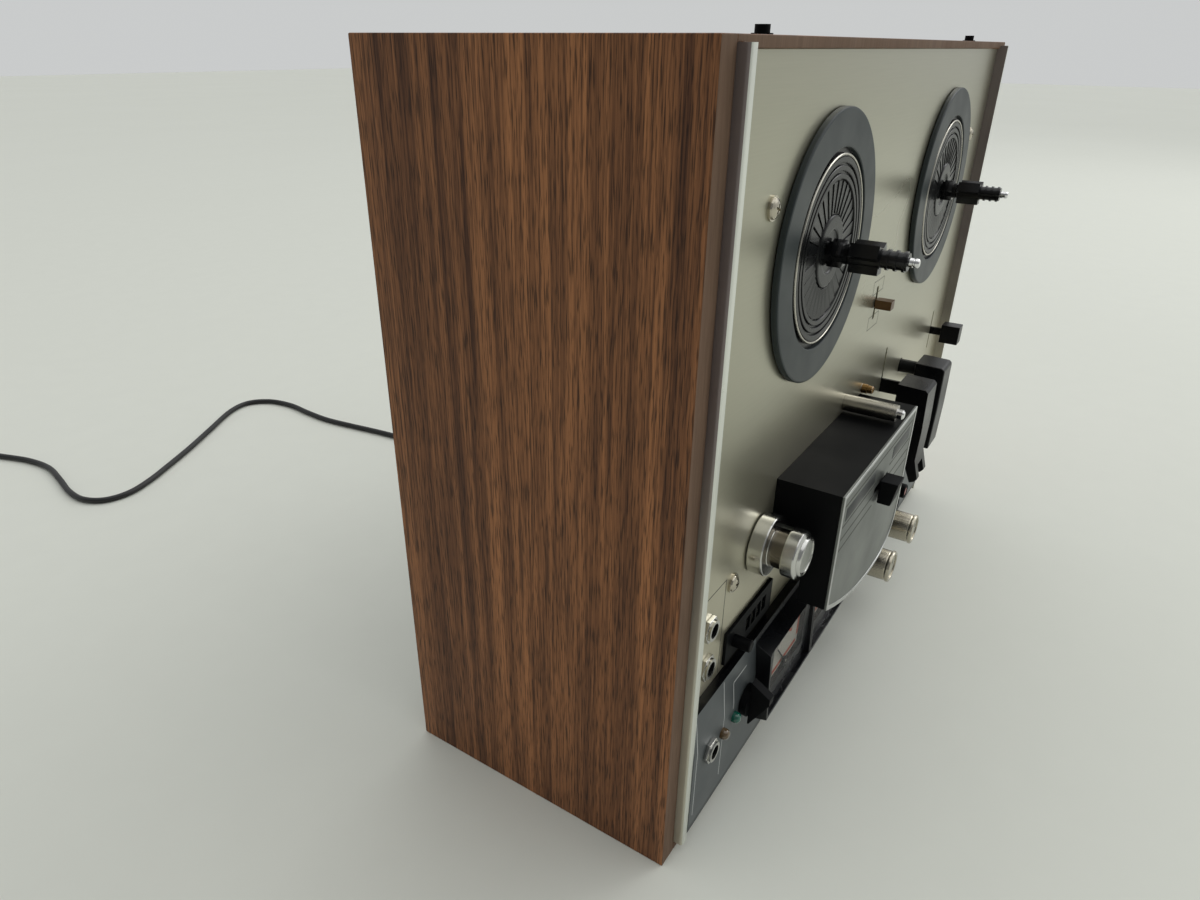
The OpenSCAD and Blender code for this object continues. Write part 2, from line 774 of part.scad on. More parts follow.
// Number wheel of the counter, counted from the left
module counter_wheel(i) {
    x = wheel_first_x + i * wheel_pitch;
    color("black") from_front() difference() {
        bar_x(x - wheel_w / 2, x + wheel_w / 2, wheel_y, wheel_z, wheel_r);
        bar_x(x - wheel_w, x + wheel_w, wheel_y, wheel_z, wheel_axle_r + run_gap);
    }
}

module counter_wheel_1() {
    counter_wheel(0);
}

module counter_wheel_2() {
    counter_wheel(1);
}

module counter_wheel_3() {
    counter_wheel(2);
}

module counter_wheel_4() {
    counter_wheel(3);
}

// Push button that sets the counter back to zero
module counter_reset() {
    reach = 8;
    stop = panel_back + 0.3 - counter_front + reach;
    color([0.08, 0.08, 0.08]) from_front() turned(reset_x, wheel_z, counter_front - reach, [
        [0, 0], [reset_r - 0.5, 0], [reset_r, 0.5], [reset_r, stop], [reset_r + 1.4, stop],
        [reset_r + 1.4, stop + 1.2], [0, stop + 1.2]]);
}

// Reel table with its shaft and drum behind and the fixed part of its spindle in front
module reel_table(side) {
    hub_end = bearing_front - 0.5 - table_front;
    drum_start = bearing_back + 1 - table_front;
    color([0.22, 0.23, 0.23]) from_front() {
        for (i = [0:2])
            translate([side * reel_x, 0, reel_z]) rotate([0, 90 + 120 * i, 0])
                block(0, spindle_r, table_front - 5.4, table_front + 0.5, -lobe_half, lobe_half);
        turned(side * reel_x, reel_z, table_front, [
        [0, -spindle_len], [1.4, -spindle_len], [1.8, 0.4 - spindle_len], [1.8, 3.7 - spindle_len],
        [lock_pin_r, 3.7 - spindle_len], [lock_pin_r, -7.7], [spindle_core_r, -7.7],
        [spindle_core_r, 0.3], [14, 0.3], [14, 0.9],
        [27, 0.9], [27, 0.4], [29, 0.4], [29, 0.8], [30, 0.8], [30, 0.4], [32, 0.4], [32, 0.8],
        [33, 0.8], [33, 0.2], [36.5, 0.2], [36.5, 0.8], [38.5, 0.8], [38.5, 0], [table_r - 0.6, 0],
        [table_r, 0.6], [table_r, table_t], [reel_shaft_r + 3, table_t], [reel_shaft_r + 3, hub_end],
        [reel_shaft_r, hub_end], [reel_shaft_r, drum_start], [drum_r, drum_start],
        [drum_r, drum_start + drum_t], [0, drum_start + drum_t]]);
    }
}

module supply_reel_table() {
    reel_table(-1);
}

module takeup_reel_table() {
    reel_table(1);
}

// Twist lock at the tip of a spindle: three lobes and a ringed grip
module reel_lock(side) {
    ring_t = 1;
    ring_pitch = 3.1;
    ring_r = grip_r + 0.55;
    inset = 0.4;
    bore = lock_pin_r + run_gap;
    step = lock_step - lock_front;
    rings = [for (i = [0:2]) let (y = 0.8 + i * ring_pitch)
        each [[grip_r, y], [ring_r, y], [ring_r, y + ring_t], [grip_r, y + ring_t]]];
    color([0.07, 0.07, 0.07]) from_front() {
        turned(side * reel_x, reel_z, lock_front, concat([[bore, 0], [grip_r, 0]], rings,
            [[grip_r, step], [lock_core_r, step], [lock_core_r, lock_back - lock_front],
                [bore, lock_back - lock_front]]));
        for (i = [0:2])
            translate([side * reel_x, 0, reel_z]) rotate([0, 90 + 120 * i, 0])
                block(lock_core_r - 1.5, lobe_r, lock_step + inset, lock_back - inset,
                    -lobe_half, lobe_half);
    }
}

module supply_reel_lock() {
    reel_lock(-1);
}

module takeup_reel_lock() {
    reel_lock(1);
}

// Chrome guide roller: wide flange at the panel, waist for the tape and a domed cap
module guide_roller() {
    back = panel_face - 0.5;
    front = roller_front;
    color("gainsboro") from_front() difference() {
        turned(roller_x, roller_z, front, [
            [0, 0], [roller_cap_r - 2.6, 0], [roller_cap_r - 2, 0.5], [roller_cap_r - 1.8, 1.6],
            [roller_cap_r, 2.4], [roller_cap_r, 7.6], [roller_cap_r - 0.4, 8], [waist_r, 8], [waist_r, 14.4],
            [roller_flange_r - 0.6, 14.4], [roller_flange_r, 15], [roller_flange_r, back - front],
            [0, back - front]]);
        bar_y(roller_x, roller_z, front + 4, back + cut, post_r + run_gap);
    }
}

// Fixed posts on the deck: roller pin, sleeve pin, right-hand tape guide and a small stud
module guide_posts() {
    color("silver") from_front() {
        bar_y(roller_x, roller_z, roller_front + 4.5, panel_face, post_r);
        turned(sleeve_x, sleeve_z, sleeve_front - 3.4, [[0, 0], [1.6, 0], [2.4, 0.8], [2.4, 3.2],
            [post_r, 3.2], [post_r, panel_face - sleeve_front + 3.4], [0, panel_face - sleeve_front + 3.4]]);
        turned(right_post_x, tape_z - 1, panel_face - 16.5, [[0, 0], [4, 0], [4, 3], [2.6, 3], [2.6, 10],
            [4, 10], [4, 16.5], [0, 16.5]]);
        turned(stud_x, cover_top + 2.5, panel_face - 6, [[0, 0], [1.6, 0], [2, 0.4], [2, 3], [2.4, 3],
            [2.4, 6], [0, 6]]);
    }
}

// Spare sleeve for the capstan, kept on its own pin
module capstan_sleeve() {
    color("gainsboro") from_front() difference() {
        bar_y(sleeve_x, sleeve_z, sleeve_front, panel_face, sleeve_r);
        bar_y(sleeve_x, sleeve_z, sleeve_front - cut, panel_face + cut, post_r + run_gap);
    }
}

// Capstan shaft with its flywheel
module capstan_flywheel() {
    front = -22;
    disc = flywheel_front - front;
    color("lightgray") from_front() turned(capstan_x, tape_z, front, [
        [0, 0], [capstan_r - 0.4, 0], [capstan_r, 0.4], [capstan_r, disc], [flywheel_r, disc],
        [flywheel_r, disc + flywheel_t], [flywheel_r - 6, disc + flywheel_t],
        [flywheel_r - 6, disc + flywheel_t - 5], [8, disc + flywheel_t - 5], [8, disc + flywheel_t + 1],
        [0, disc + flywheel_t + 1]]);
}

// Arm of the pinch roller, away from the capstan at rest
module pinch_arm() {
    px = pinch_pivot[0];
    pz = pinch_pivot[1];
    color("gainsboro") from_front() {
        bar_y(px, pz, arm_plate_front, arm_plate_back, 5);
        bar_y(pinch_x, pinch_z, arm_plate_front, arm_plate_back, 5);
        translate([px, 0, pz]) rotate([0, -pinch_rest, 0])
            block(0, pinch_arm_len, arm_plate_front, arm_plate_back, -4, 4);
        bar_y(px, pz, arm_plate_back - cut, chassis_back + 3, pinch_shaft_r);
        bar_y(pinch_x, pinch_z, pinch_back - pinch_len - 1, arm_plate_front + cut, pinch_axle_r);
        bar_y(pinch_x, pinch_z, pinch_back - pinch_len - 2.5, pinch_back - pinch_len - 0.5, 3.5);
    }
}

module pinch_roller() {
    color([0.15, 0.15, 0.15]) from_front() difference() {
        bar_y(pinch_x, pinch_z, pinch_back - pinch_len, pinch_back, pinch_r);
        bar_y(pinch_x, pinch_z, pinch_back - pinch_len - cut, pinch_back + cut, pinch_axle_r + run_gap);
    }
}

// Brass-coloured tab of the speed selector, on a slider behind the panel
module speed_tab() {
    half = speed_tab_h / 2;
    color("peru") from_front() {
        block(-3, 3, panel_face - 8.5, panel_face - pass_gap, speed_z - half, speed_z + half);
        block(-1.1, 1.1, panel_face - 1, panel_back + 1.5, speed_z - half + 0.3, speed_z + half - 0.3);
        block(-7, 7, panel_back + pass_gap, panel_back + 2, speed_z - 8, speed_z + 8);
    }
}

// Play lever: steel arm on a pin behind the panel and a hooked handle with a notched tip
module play_lever() {
    z = play_pivot[1];
    front = -play_proud;
    back = handle_t - play_proud;
    tip = z - play_drop;
    hook = [
        [-handle_root, z - handle_top], [-handle_root, z + handle_top], [front + 2.2, z + handle_top - 0.5],
        [front + 0.7, z + handle_top - 2], [front, z - 19], [front + 0.4, tip + 14], [front - 2.8, tip + 3],
        [front - 1.3, tip + 1], [front + 1.2, tip], [back - 0.7, tip + 8], [back, z - 11],
        [back + 1.8, z - handle_top]];
    color([0.08, 0.08, 0.09]) from_front() difference() {
        union() {
            profile_x(play_x - handle_w / 2, play_x + handle_w / 2, hook);
            block(play_x - arm_t / 2, play_x + arm_t / 2, -handle_root - 2, play_pivot[0],
                z - play_arm_half, z + play_arm_half);
            bar_x(play_x - arm_t / 2, play_x + arm_t / 2, play_pivot[0], z, play_arm_half);
        }
        bar_x(play_x - cut - arm_t, play_x + cut + arm_t, play_pivot[0], z, lever_pin_r + run_gap);
        block(play_x - handle_w / 4, play_x + handle_w / 4, front - 2 * handle_t, back + handle_t,
            tip - cut, tip + 10);
    }
}

// Winding lever: hooked handle on a shaft square to the panel
module wind_lever() {
    front = -wind_proud;
    back = handle_t + 0.9 - wind_proud;
    tip = wind_z - wind_drop;
    hook = [
        [-handle_root + 1, wind_z - handle_top], [-handle_root + 1, wind_z + handle_top + 0.5],
        [front + 1.8, wind_z + handle_top], [front + 0.3, wind_z + handle_top - 1.5], [front, wind_z - 20],
        [front + 0.5, tip], [back - 0.5, tip], [back, wind_z - 11], [back + 2, wind_z - handle_top]];
    color([0.08, 0.08, 0.09]) from_front() {
        profile_x(wind_x - handle_w / 2, wind_x + handle_w / 2, hook);
        bar_y(wind_x, wind_z, -handle_root, chassis_back + 17, wind_shaft_r);
        bar_y(wind_x, wind_z, chassis_back + 13, chassis_back + 17, wind_shaft_r + 5);
    }
}

// Power lever: steel arm and a square black knob
module power_lever() {
    color([0.08, 0.08, 0.09]) from_front() difference() {
        union() {
            block(power_x - power_knob_w / 2, power_x + power_knob_w / 2, -17.6, -6,
                power_z - power_knob_half, power_z + power_knob_half);
            block(power_x - arm_t / 2, power_x + arm_t / 2, -8, power_pivot_y,
                power_z - power_arm_half, power_z + power_arm_half);
            bar_x(power_x - arm_t / 2, power_x + arm_t / 2, power_pivot_y, power_z, power_arm_half + 2);
        }
        bar_x(power_x - cut - arm_t, power_x + cut + arm_t, power_pivot_y, power_z, lever_pin_r + run_gap);
    }
}

// Fluted outline of a level knob
function flutes(r, n) = [for (i = [0:2 * n - 1])
    (i % 2 == 0 ? r : r - 0.5) * [cos(i * 180 / n), sin(i * 180 / n)]];

module level_knob(x) {
    rim = 2;
    color("silver") from_front() {
        translate([x, knob_back, control_row_z]) rotate([90, 0, 0])
            linear_extrude(knob_proud + knob_back - rim / 2) polygon(flutes(knob_r - 0.3, 24));
        turned(x, control_row_z, -knob_proud, [[0, 0.6], [knob_r - 2.2, 0.6], [knob_r - 2.2, 0],
            [knob_r - 0.6, 0], [knob_r, 0.6], [knob_r, rim], [0, rim]]);
        bar_y(x, control_row_z, knob_back - cut, control_inner + 10, knob_shaft_r);
    }
}

module level_knob_left() {
    level_knob(knob_left_x);
}

module level_knob_right() {
    level_knob(knob_right_x);
}

// Selector with a round base and a bar that slopes down to a blunt tip
module selector_knob() {
    base = control_face - pass_gap;
    bar = [[base - 2.8, -12], [base - 3.5, -12], [base - 12, 3], [base - 12, 6.5], [base - 2.8, 12]];
    color([0.08, 0.08, 0.09]) from_front() {
        bar_y(selector_x, selector_z, base - 3, base, selector_r);
        translate([0, 0, selector_z]) profile_x(selector_x - 2.3, selector_x + 2.3, bar);
        bar_y(selector_x, selector_z, base - cut, control_inner + 10, knob_shaft_r);
    }
}

// Recording button on its stem
module record_button(x) {
    face = control_face - 7.5;
    color([0.25, 0.08, 0.07]) from_front() turned(x, control_row_z, face, [
        [0, 0.4], [button_r - 1.2, 0.4], [button_r - 0.6, 0], [button_r, 0.6], [button_r, 7],
        [button_stem_r, 7], [button_stem_r, 18], [0, 18]]);
}

module record_button_left() {
    record_button(button_x[0]);
}

module record_button_right() {
    record_button(button_x[1]);
}

// Green and amber indicator lamps
module pilot_lamps() {
    for (lamp = [[green_lamp_x, "seagreen"], [amber_lamp_x, "peru"]])
        color(lamp[1]) from_front() turned(lamp[0], lamp_z, control_face - 3.5, [
            [0, 0], [lamp_r - 0.8, 0], [lamp_r, 0.9], [lamp_r, 3.5 + control_wall + 4],
            [0, 3.5 + control_wall + 4]]);
}

// Jack with its nut in front of the face and its body behind the wall
module jack(x, z, face, wall) {
    difference() {
        union() {
            translate([x, face - 1.8, z]) rotate([-90, 0, 0]) cylinder(h = 1.8, r = 6, $fn = 6);
            bar_y(x, z, face - 2.8, face + wall, jack_neck_r);
            bar_y(x, z, face + wall, face + wall + jack_len, jack_body_r);
        }
        bar_y(x, z, face - 2.8 - cut, face + jack_len - 4, jack_bore_r);
    }
}

module jack_sockets() {
    color("gainsboro") from_front() {
        for (z = mic_heights)
            jack(mic_x, z, panel_face, panel_t);
        jack(phones_x, phones_z, control_face, control_wall);
    }
}

// Body of a rotary or push control behind the control panel
module control_body(x, z, r, front, bore_r) {
    neck = 3;
    difference() {
        union() {
            bar_y(x, z, front, front + neck + cut, bore_r + 2.5);
            bar_y(x, z, front + neck, front + pot_len, r);
        }
        bar_y(x, z, front - cut, front + pot_len + cut, bore_r + run_gap);
    }
}

// Level controls, selector switch and recording switches on their backs
module panel_switchgear() {
    lug = 3;
    color("slategray") from_front() {
        for (x = [knob_left_x, knob_right_x])
            control_body(x, control_row_z, pot_r, control_inner, knob_shaft_r);
        control_body(selector_x, selector_z, pot_r, control_inner, knob_shaft_r);
        for (x = button_x)
            difference() {
                union() {
                    block(x - 8, x + 8, control_inner, control_inner + lug,
                        control_row_z - 12, control_row_z - 6);
                    block(x - 8, x + 8, control_inner + lug, control_inner + 16,
                        control_row_z - 12, control_row_z + 6);
                }
                bar_y(x, control_row_z, control_inner - cut, control_inner + 16 + cut,
                    button_stem_r + run_gap);
                bar_y(x, control_row_z, control_inner - cut, control_inner + lug + 1, button_r + 0.5);
            }
    }
}

// Motor on a plate that four posts carry behind the chassis
module motor() {
    post_at = motor_plate_half - 4;
    color("dimgray") from_front() difference() {
        union() {
            block(motor_x - motor_plate_half, motor_x + motor_plate_half, motor_plate_front,
                motor_plate_front + motor_plate_t, motor_z - motor_plate_half, motor_z + motor_plate_half);
            bar_y(motor_x, motor_z, motor_plate_front + motor_plate_t - cut,
                motor_plate_front + motor_plate_t + motor_len, motor_r);
            for (sx = [-1, 1], sz = [-1, 1])
                bar_y(motor_x + sx * post_at, motor_z + sz * post_at, chassis_back,
                    motor_plate_front + cut, 3);
        }
        bar_y(motor_x, motor_z, motor_plate_front - cut, motor_plate_front + 14, motor_shaft_r + run_gap);
    }
}

module motor_pulley() {
    color("darkgoldenrod") from_front() {
        bar_y(motor_x, motor_z, flywheel_front, flywheel_front + flywheel_t, pulley_r);
        bar_y(motor_x, motor_z, flywheel_front - 4, motor_plate_front + 12, motor_shaft_r);
    }
}

// Outline of a belt round two wheels of radii a and b, with arcs joined by tangents
function belt_outline(a, b) =
    let (dx = motor_x - capstan_x, dz = motor_z - tape_z,
        lean = atan2(dz, dx), spread = acos((a - b) / norm([dx, dz])), n = 24)
    concat(
        [for (i = [0:n]) let (t = lean + spread + (360 - 2 * spread) * i / n)
            [capstan_x + a * cos(t), tape_z + a * sin(t)]],
        [for (i = [0:n]) let (t = lean - spread + 2 * spread * i / n)
            [motor_x + b * cos(t), motor_z + b * sin(t)]]);

module drive_belt() {
    belt_w = 6;
    color([0.1, 0.1, 0.1]) from_front()
        translate([0, flywheel_front + flywheel_t / 2 + belt_w / 2, 0]) rotate([90, 0, 0])
            linear_extrude(belt_w) difference() {
                polygon(belt_outline(flywheel_r + belt_gap + belt_t, pulley_r + belt_gap + belt_t));
                polygon(belt_outline(flywheel_r + belt_gap, pulley_r + belt_gap));
            }
}

module transformer() {
    core_w = 54;
    core_d = 30;
    core_h = 52;
    winding_low = 12;
    winding_high = 9;
    winding_inset = 16;
    winding_proud = 10;
    left = 43.5 - inner_half;
    rear = cabinet_d - 16;
    color("darkslategray") from_front() {
        block(left, left + core_w + 12, rear - core_d - 12, rear, board_t, board_t + 3);
        block(left + 6, left + 6 + core_w, rear - core_d - 6, rear - 6, board_t + 3, board_t + core_h);
        block(left + winding_inset, left + core_w + 12 - winding_inset,
            rear - core_d - winding_proud, rear - 12 + winding_proud,
            board_t + winding_low, board_t + core_h - winding_high);
    }
}

// Amplifier board on two feet, with its capacitors and heat sink
module circuit_board() {
    board_gap = 26;
    board_inset = 33.5;
    foot_inset = 20;
    y = chassis_back + board_gap;
    half = inner_half - board_inset;
    color("olivedrab") from_front() {
        for (x = [foot_inset - half, half - foot_inset])
            block(x - 8, x + 8, y - 6, y + 8, board_t, board_t + 5);
        block(-half, half, y, y + 1.6, board_t + 5, control_top - 3);
        for (i = [0:5])
            bar_y(-120 + 44 * i, control_row_z + (i % 2 == 0 ? 8 : -6), y + 1.6, y + 18, 6);
        for (i = [0:3])
            block(-66 + i * 6, -64 + i * 6, y + 1.6, y + 20, board_t + 9, control_top - 7);
    }
}

// Back cover with its vents, the opening for the sockets and four posts
module back_cover() {
    slots = 9;
    slot_pitch = 14;
    post_x = inner_half - 28;
    color([0.18, 0.17, 0.16]) from_front() {
        difference() {
            block(-inner_half, inner_half, cover_face, cover_back, board_t, cabinet_h - board_t);
            block(jack_cut[0], jack_cut[1], cover_face - cut, cover_back + cut, jack_cut[2], jack_cut[3]);
            for (i = [0:slots - 1], row = [0, 1])
                translate([(i - (slots - 1) / 2) * slot_pitch, 0, 120 + row * 70])
                    block(-2.5, 2.5, cover_face - cut, cover_back + cut, 0, 50);
        }
        for (side = [-1, 1], z = [board_t + 32, cabinet_h - board_t - 32])
            bar_y(side * post_x, z, cover_back, cabinet_d + rear_post_len, rear_post_r);
    }
}

// Socket plate behind the opening in the back cover, with its phono sockets and fuse cap
module rear_jack_panel() {
    color("gray") from_front() {
        block(jack_cut[0] - jack_lap, jack_cut[1] + jack_lap, cover_face - jack_plate_t, cover_face,
            jack_cut[2] - jack_lap, jack_cut[3] + jack_lap);
        for (x = [76, 94, 112], z = [46, 64])
            difference() {
                bar_y(x, z, cover_face, cabinet_d + 8, 4.2);
                bar_y(x, z, cover_face + 2, cabinet_d + 8 + cut, 1.6);
            }
        turned(20, 58, cover_face, [[0, 0], [7, 0], [7, 5], [6, 10], [0, 10]]);
    }
}

// Cross-headed screws with collars that hold the deck panel to the chassis
module panel_screws() {
    color("gainsboro") from_front() for (side = [-1, 1], z = screw_heights)
        difference() {
            turned(side * screw_x, z, panel_face - 2.4, [[0, 0], [screw_r * 0.5, 0.1], [screw_r - 0.2, 1],
                [screw_r, 1.6], [screw_r + 0.6, 1.6], [screw_r + 0.6, 2.4], [screw_r / 2, 2.4],
                [screw_r / 2, chassis_back - panel_face + 4], [0, chassis_back - panel_face + 4]]);
            for (turn = [0, 90])
                translate([side * screw_x, 0, z]) rotate([0, turn + 20, 0])
                    block(-1.7, 1.7, panel_face - 3.4, panel_face - 1.4, -0.4, 0.4);
        }
}

// Black screws in the top board, into the flange of the chassis
module top_screws() {
    color([0.05, 0.05, 0.05]) from_front() for (side = [-1, 1])
        translate([side * top_screw_x, top_screw_y, 0]) {
            translate([0, 0, cabinet_h]) cylinder(h = 0.6, r = 3.4);
            translate([0, 0, cabinet_h + 0.6]) cylinder(h = 2.4, r = 2.4);
            translate([0, 0, cabinet_h - board_t - 5]) cylinder(h = board_t + 5, r = 2);
        }
}

// Tapered strain relief with its ribs
module cord_gland() {
    base = cabinet_d - cover_face;
    tip = base + gland_len - 1;
    root_r = 7;
    tip_r = cord_d / 2 + 1;
    ribs = 6;
    rib_pitch = 4;
    color([0.06, 0.06, 0.06]) from_front() {
        turned(gland_x, gland_z, cover_face,
            [[0, 0], [9, 0], [9, base], [root_r, base], [tip_r, tip], [0, tip]]);
        for (i = [0:ribs - 1])
            bar_y(gland_x, gland_z, cabinet_d + 5 + i * rib_pitch, cabinet_d + 6.6 + i * rib_pitch,
                root_r + 0.4 - (root_r - tip_r) * (5 + i * rib_pitch) / gland_len);
    }
}

// Smooth run through the points of a route
function between(p, i, t) =
    let (a = p[max(i - 1, 0)], b = p[i], c = p[i + 1], d = p[min(i + 2, len(p) - 1)])
    0.5 * (2 * b + (c - a) * t + (2 * a - 5 * b + 4 * c - d) * t * t + (3 * b - a - 3 * c + d) * t * t * t);
function smooth(p, steps) = concat(
    [for (i = [0:len(p) - 2], k = [0:steps - 1]) between(p, i, k / steps)], [p[len(p) - 1]]);

// Direction of a path at one of its points
function heading(p, i) =
    let (d = p[min(i + 1, len(p) - 1)] - p[max(i - 1, 0)]) d / norm(d);

// Ring of points round a path
function ring(p, i, r, sides, first, last) =
    let (t = i == 0 ? first : i == len(p) - 1 ? last : heading(p, i),
        s = cross(t, [0, 0, 1]) / norm(cross(t, [0, 0, 1])), u = cross(s, t))
    [for (k = [0:sides - 1])
        p[i] + r * (cos(360 * (k + 0.5) / sides) * s + sin(360 * (k + 0.5) / sides) * u)];

// Closed tube along a path, with square ends
module tube(p, r, sides, first, last) {
    n = len(p);
    points = [for (i = [0:n - 1]) each ring(p, i, r, sides, first, last)];
    walls = [for (i = [0:n - 2], k = [0:sides - 1])
        let (a = i * sides + k, b = i * sides + (k + 1) % sides)
        each [[a, b + sides, b], [a, a + sides, b + sides]]];
    near = [for (k = [1:sides - 2]) [0, k, k + 1]];
    far = [for (k = [1:sides - 2]) [(n - 1) * sides, (n - 1) * sides + k + 1, (n - 1) * sides + k]];
    polyhedron(points = points, faces = concat(walls, near, far));
}

// Length of a path
function path_len(p, i = 1) = i >= len(p) ? 0 : norm(p[i] - p[i - 1]) + path_len(p, i + 1);

free_path = smooth(cord_route, route_steps);

module cord_free() {
    color([0.05, 0.05, 0.05]) tube(free_path, cord_d / 2, 8, [0, 1, 0], [0, 1, 0]);
}

// Centre line of the coil: in on the lower layer, a climb at the turn, out on the upper one
function coil_radius(turn) = turn < coil_layer_turns + 0.25
    ? coil_r - coil_pitch * turn
    : coil_r - coil_pitch * (coil_turns - turn);
function climb(turn) = let (t = min(max((turn - coil_layer_turns) / 0.5, 0), 1)) t * t * (3 - 2 * t);
function coil_point(turn) = [
    coil_centre[0] + coil_radius(turn) * cos(360 * turn),
    coil_centre[1] + coil_radius(turn) * sin(360 * turn),
    coil_low + coil_pitch * climb(turn)];
coil_rings = round(coil_turns * loop_rings);
coil_body = [for (i = [0:coil_rings]) coil_point(i * coil_turns / coil_rings)];
coil_lead = 8;
coil_tail = 26;
coil_path = concat(
    [coil_body[0] - [0, coil_lead, 0]], coil_body, [coil_body[coil_rings] - [0, coil_tail, 0]]);

// Least distance between parts of the coil more than half a turn apart, less the cord itself
coil_self_gap = min([for (i = [0:len(coil_path) - 1], j = [0:len(coil_path) - 1])
    if (j > i + loop_rings / 2) norm(coil_path[i] - coil_path[j])]) - cord_d;
echo(coil_self_gap = coil_self_gap, cord_length = path_len(free_path) + path_len(coil_path));

module cord_coil() {
    color([0.05, 0.05, 0.05]) tube(coil_path, cord_d / 2, 6, [0, 1, 0], [0, -1, 0]);
}

// Two-pin plug lying beside the coil
module plug() {
    end = coil_path[len(coil_path) - 1];
    half = end[2] - 0.2;
    color([0.06, 0.06, 0.06]) translate(end) {
        block(-6, 6, -12, 0, -6, 6);
        block(-plug_w / 2, plug_w / 2, -plug_len, -12, -half, half);
        for (side = [-1, 1])
            block(side * 6.3 - 0.8, side * 6.3 + 0.8, -plug_len - 17, -plug_len + cut, -3.2, 3.2);
    }
}

side_board_left();
side_board_right();
top_board();
bottom_board();
side_trims();
deck_panel();
chassis_plate();
control_panel();
head_cover();
head_face_plate();
head_bridge();
tape_heads();
head_switch();
meter_housing();
meter_movements();
meter_windows();
needle_left();
needle_right();
counter_frame();
counter_wheel_1();
counter_wheel_2();
counter_wheel_3();
counter_wheel_4();
counter_reset();
supply_reel_table();
supply_reel_lock();
takeup_reel_table();
takeup_reel_lock();
shaft_bearings();
guide_roller();
guide_posts();
capstan_sleeve();
capstan_flywheel();
pinch_arm();
pinch_roller();
speed_tab();
play_lever();
wind_lever();
power_lever();
level_knob_left();
level_knob_right();
selector_knob();
record_button_left();
record_button_right();
pilot_lamps();
jack_sockets();
panel_switchgear();
motor();
motor_pulley();
drive_belt();
transformer();
circuit_board();
back_cover();
rear_jack_panel();
panel_screws();
top_screws();
cord_gland();
cord_free();
cord_coil();
plug();
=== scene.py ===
import json
from math import cos, hypot, pi, radians, sin
import bpy
import bmesh
from mathutils import Matrix, Vector


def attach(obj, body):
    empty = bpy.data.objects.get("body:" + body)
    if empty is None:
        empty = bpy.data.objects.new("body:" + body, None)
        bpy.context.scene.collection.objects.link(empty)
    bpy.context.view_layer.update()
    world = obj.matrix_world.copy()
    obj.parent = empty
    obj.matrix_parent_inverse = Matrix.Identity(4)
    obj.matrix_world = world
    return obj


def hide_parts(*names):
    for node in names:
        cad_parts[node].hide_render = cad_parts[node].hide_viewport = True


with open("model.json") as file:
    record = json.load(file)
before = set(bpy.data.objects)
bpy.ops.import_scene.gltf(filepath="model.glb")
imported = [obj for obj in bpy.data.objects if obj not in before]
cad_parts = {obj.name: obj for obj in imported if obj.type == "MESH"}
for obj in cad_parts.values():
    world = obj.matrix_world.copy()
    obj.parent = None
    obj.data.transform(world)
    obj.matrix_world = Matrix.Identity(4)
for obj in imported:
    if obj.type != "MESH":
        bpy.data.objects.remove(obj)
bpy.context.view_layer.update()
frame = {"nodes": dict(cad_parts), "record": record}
nodes = frame["nodes"]
mm = 0.001
frontEdge = -68.5  # the boards' front edges, in mm from the origin
print("frame loaded:", len(nodes), "nodes")

# Camera, at the place the photograph was taken from
camView = {
    "place": (-414.03, -168.65, 312.35),  # mm
    "yaw": 33.474, "pitch": 26.981, "roll": -0.474,  # degrees
    "lens": 24.459, "sensor": 36, "shift": (0.00935, 0.0071),
    "clip": (0.01, 60),  # metres
}


def linkObject(name, data):
    obj = bpy.data.objects.new(name, data)
    bpy.context.scene.collection.objects.link(obj)
    return obj


def makeCamera(v):
    yaw, pitch, roll = (radians(v[k]) for k in ("yaw", "pitch", "roll"))
    up = Vector((0, 0, 1))
    level = Vector((cos(yaw), sin(yaw), 0))
    side = Vector((sin(yaw), -cos(yaw), 0))
    ahead = level * cos(pitch) - up * sin(pitch)
    down = -up * cos(pitch) - level * sin(pitch)
    right = side * cos(roll) + down * sin(roll)
    below = down * cos(roll) - side * sin(roll)
    cam = linkObject("photoCamera", bpy.data.cameras.new("photoCamera"))
    turn = Matrix((right, -below, -ahead)).transposed().to_4x4()
    cam.matrix_world = Matrix.Translation(Vector(v["place"]) * mm) @ turn
    cam.data.sensor_fit = "HORIZONTAL"
    cam.data.sensor_width = v["sensor"]
    cam.data.lens = v["lens"]
    cam.data.shift_x, cam.data.shift_y = v["shift"]
    cam.data.clip_start, cam.data.clip_end = v["clip"]
    bpy.context.scene.camera = cam


makeCamera(camView)
bpy.context.scene.view_settings.view_transform = "Standard"
print("camera set")


# Materials
def shade(r, g, b):  # a colour as it looks on screen, 0 to 255
    lin = [((c / 255 + 0.055) / 1.055) ** 2.4 if c > 10 else c / 255 / 12.92 for c in (r, g, b)]
    return (*lin, 1.0)


def dim(colour, k):
    return (colour[0] * k, colour[1] * k, colour[2] * k, 1.0)


def addNode(tree, kind, values=None, links=None, **props):
    node = tree.nodes.new(kind)
    for key, value in props.items():
        setattr(node, key, value)
    for key, value in (values or {}).items():
        node.inputs[key].default_value = value
    for key, source in (links or {}).items():
        tree.links.new(source, node.inputs[key])
    return node


def startFinish(name):
    mat = bpy.data.materials.new(name)
    mat.use_nodes = True
    tree = mat.node_tree
    return mat, tree, tree.nodes["Principled BSDF"]


def patternNoise(tree, scale, detail=4.0, rough=0.55, warp=0.0):  # scale per metre, one number or three
    coord = addNode(tree, "ShaderNodeTexCoord")
    sized = addNode(tree, "ShaderNodeMapping", {"Scale": scale if isinstance(scale, tuple) else (scale,) * 3},
                    {"Vector": coord.outputs["Object"]})
    noise = addNode(tree, "ShaderNodeTexNoise",
                    {"Scale": 1.0, "Detail": detail, "Roughness": rough, "Distortion": warp},
                    {"Vector": sized.outputs["Vector"]})
    return noise.outputs[0]


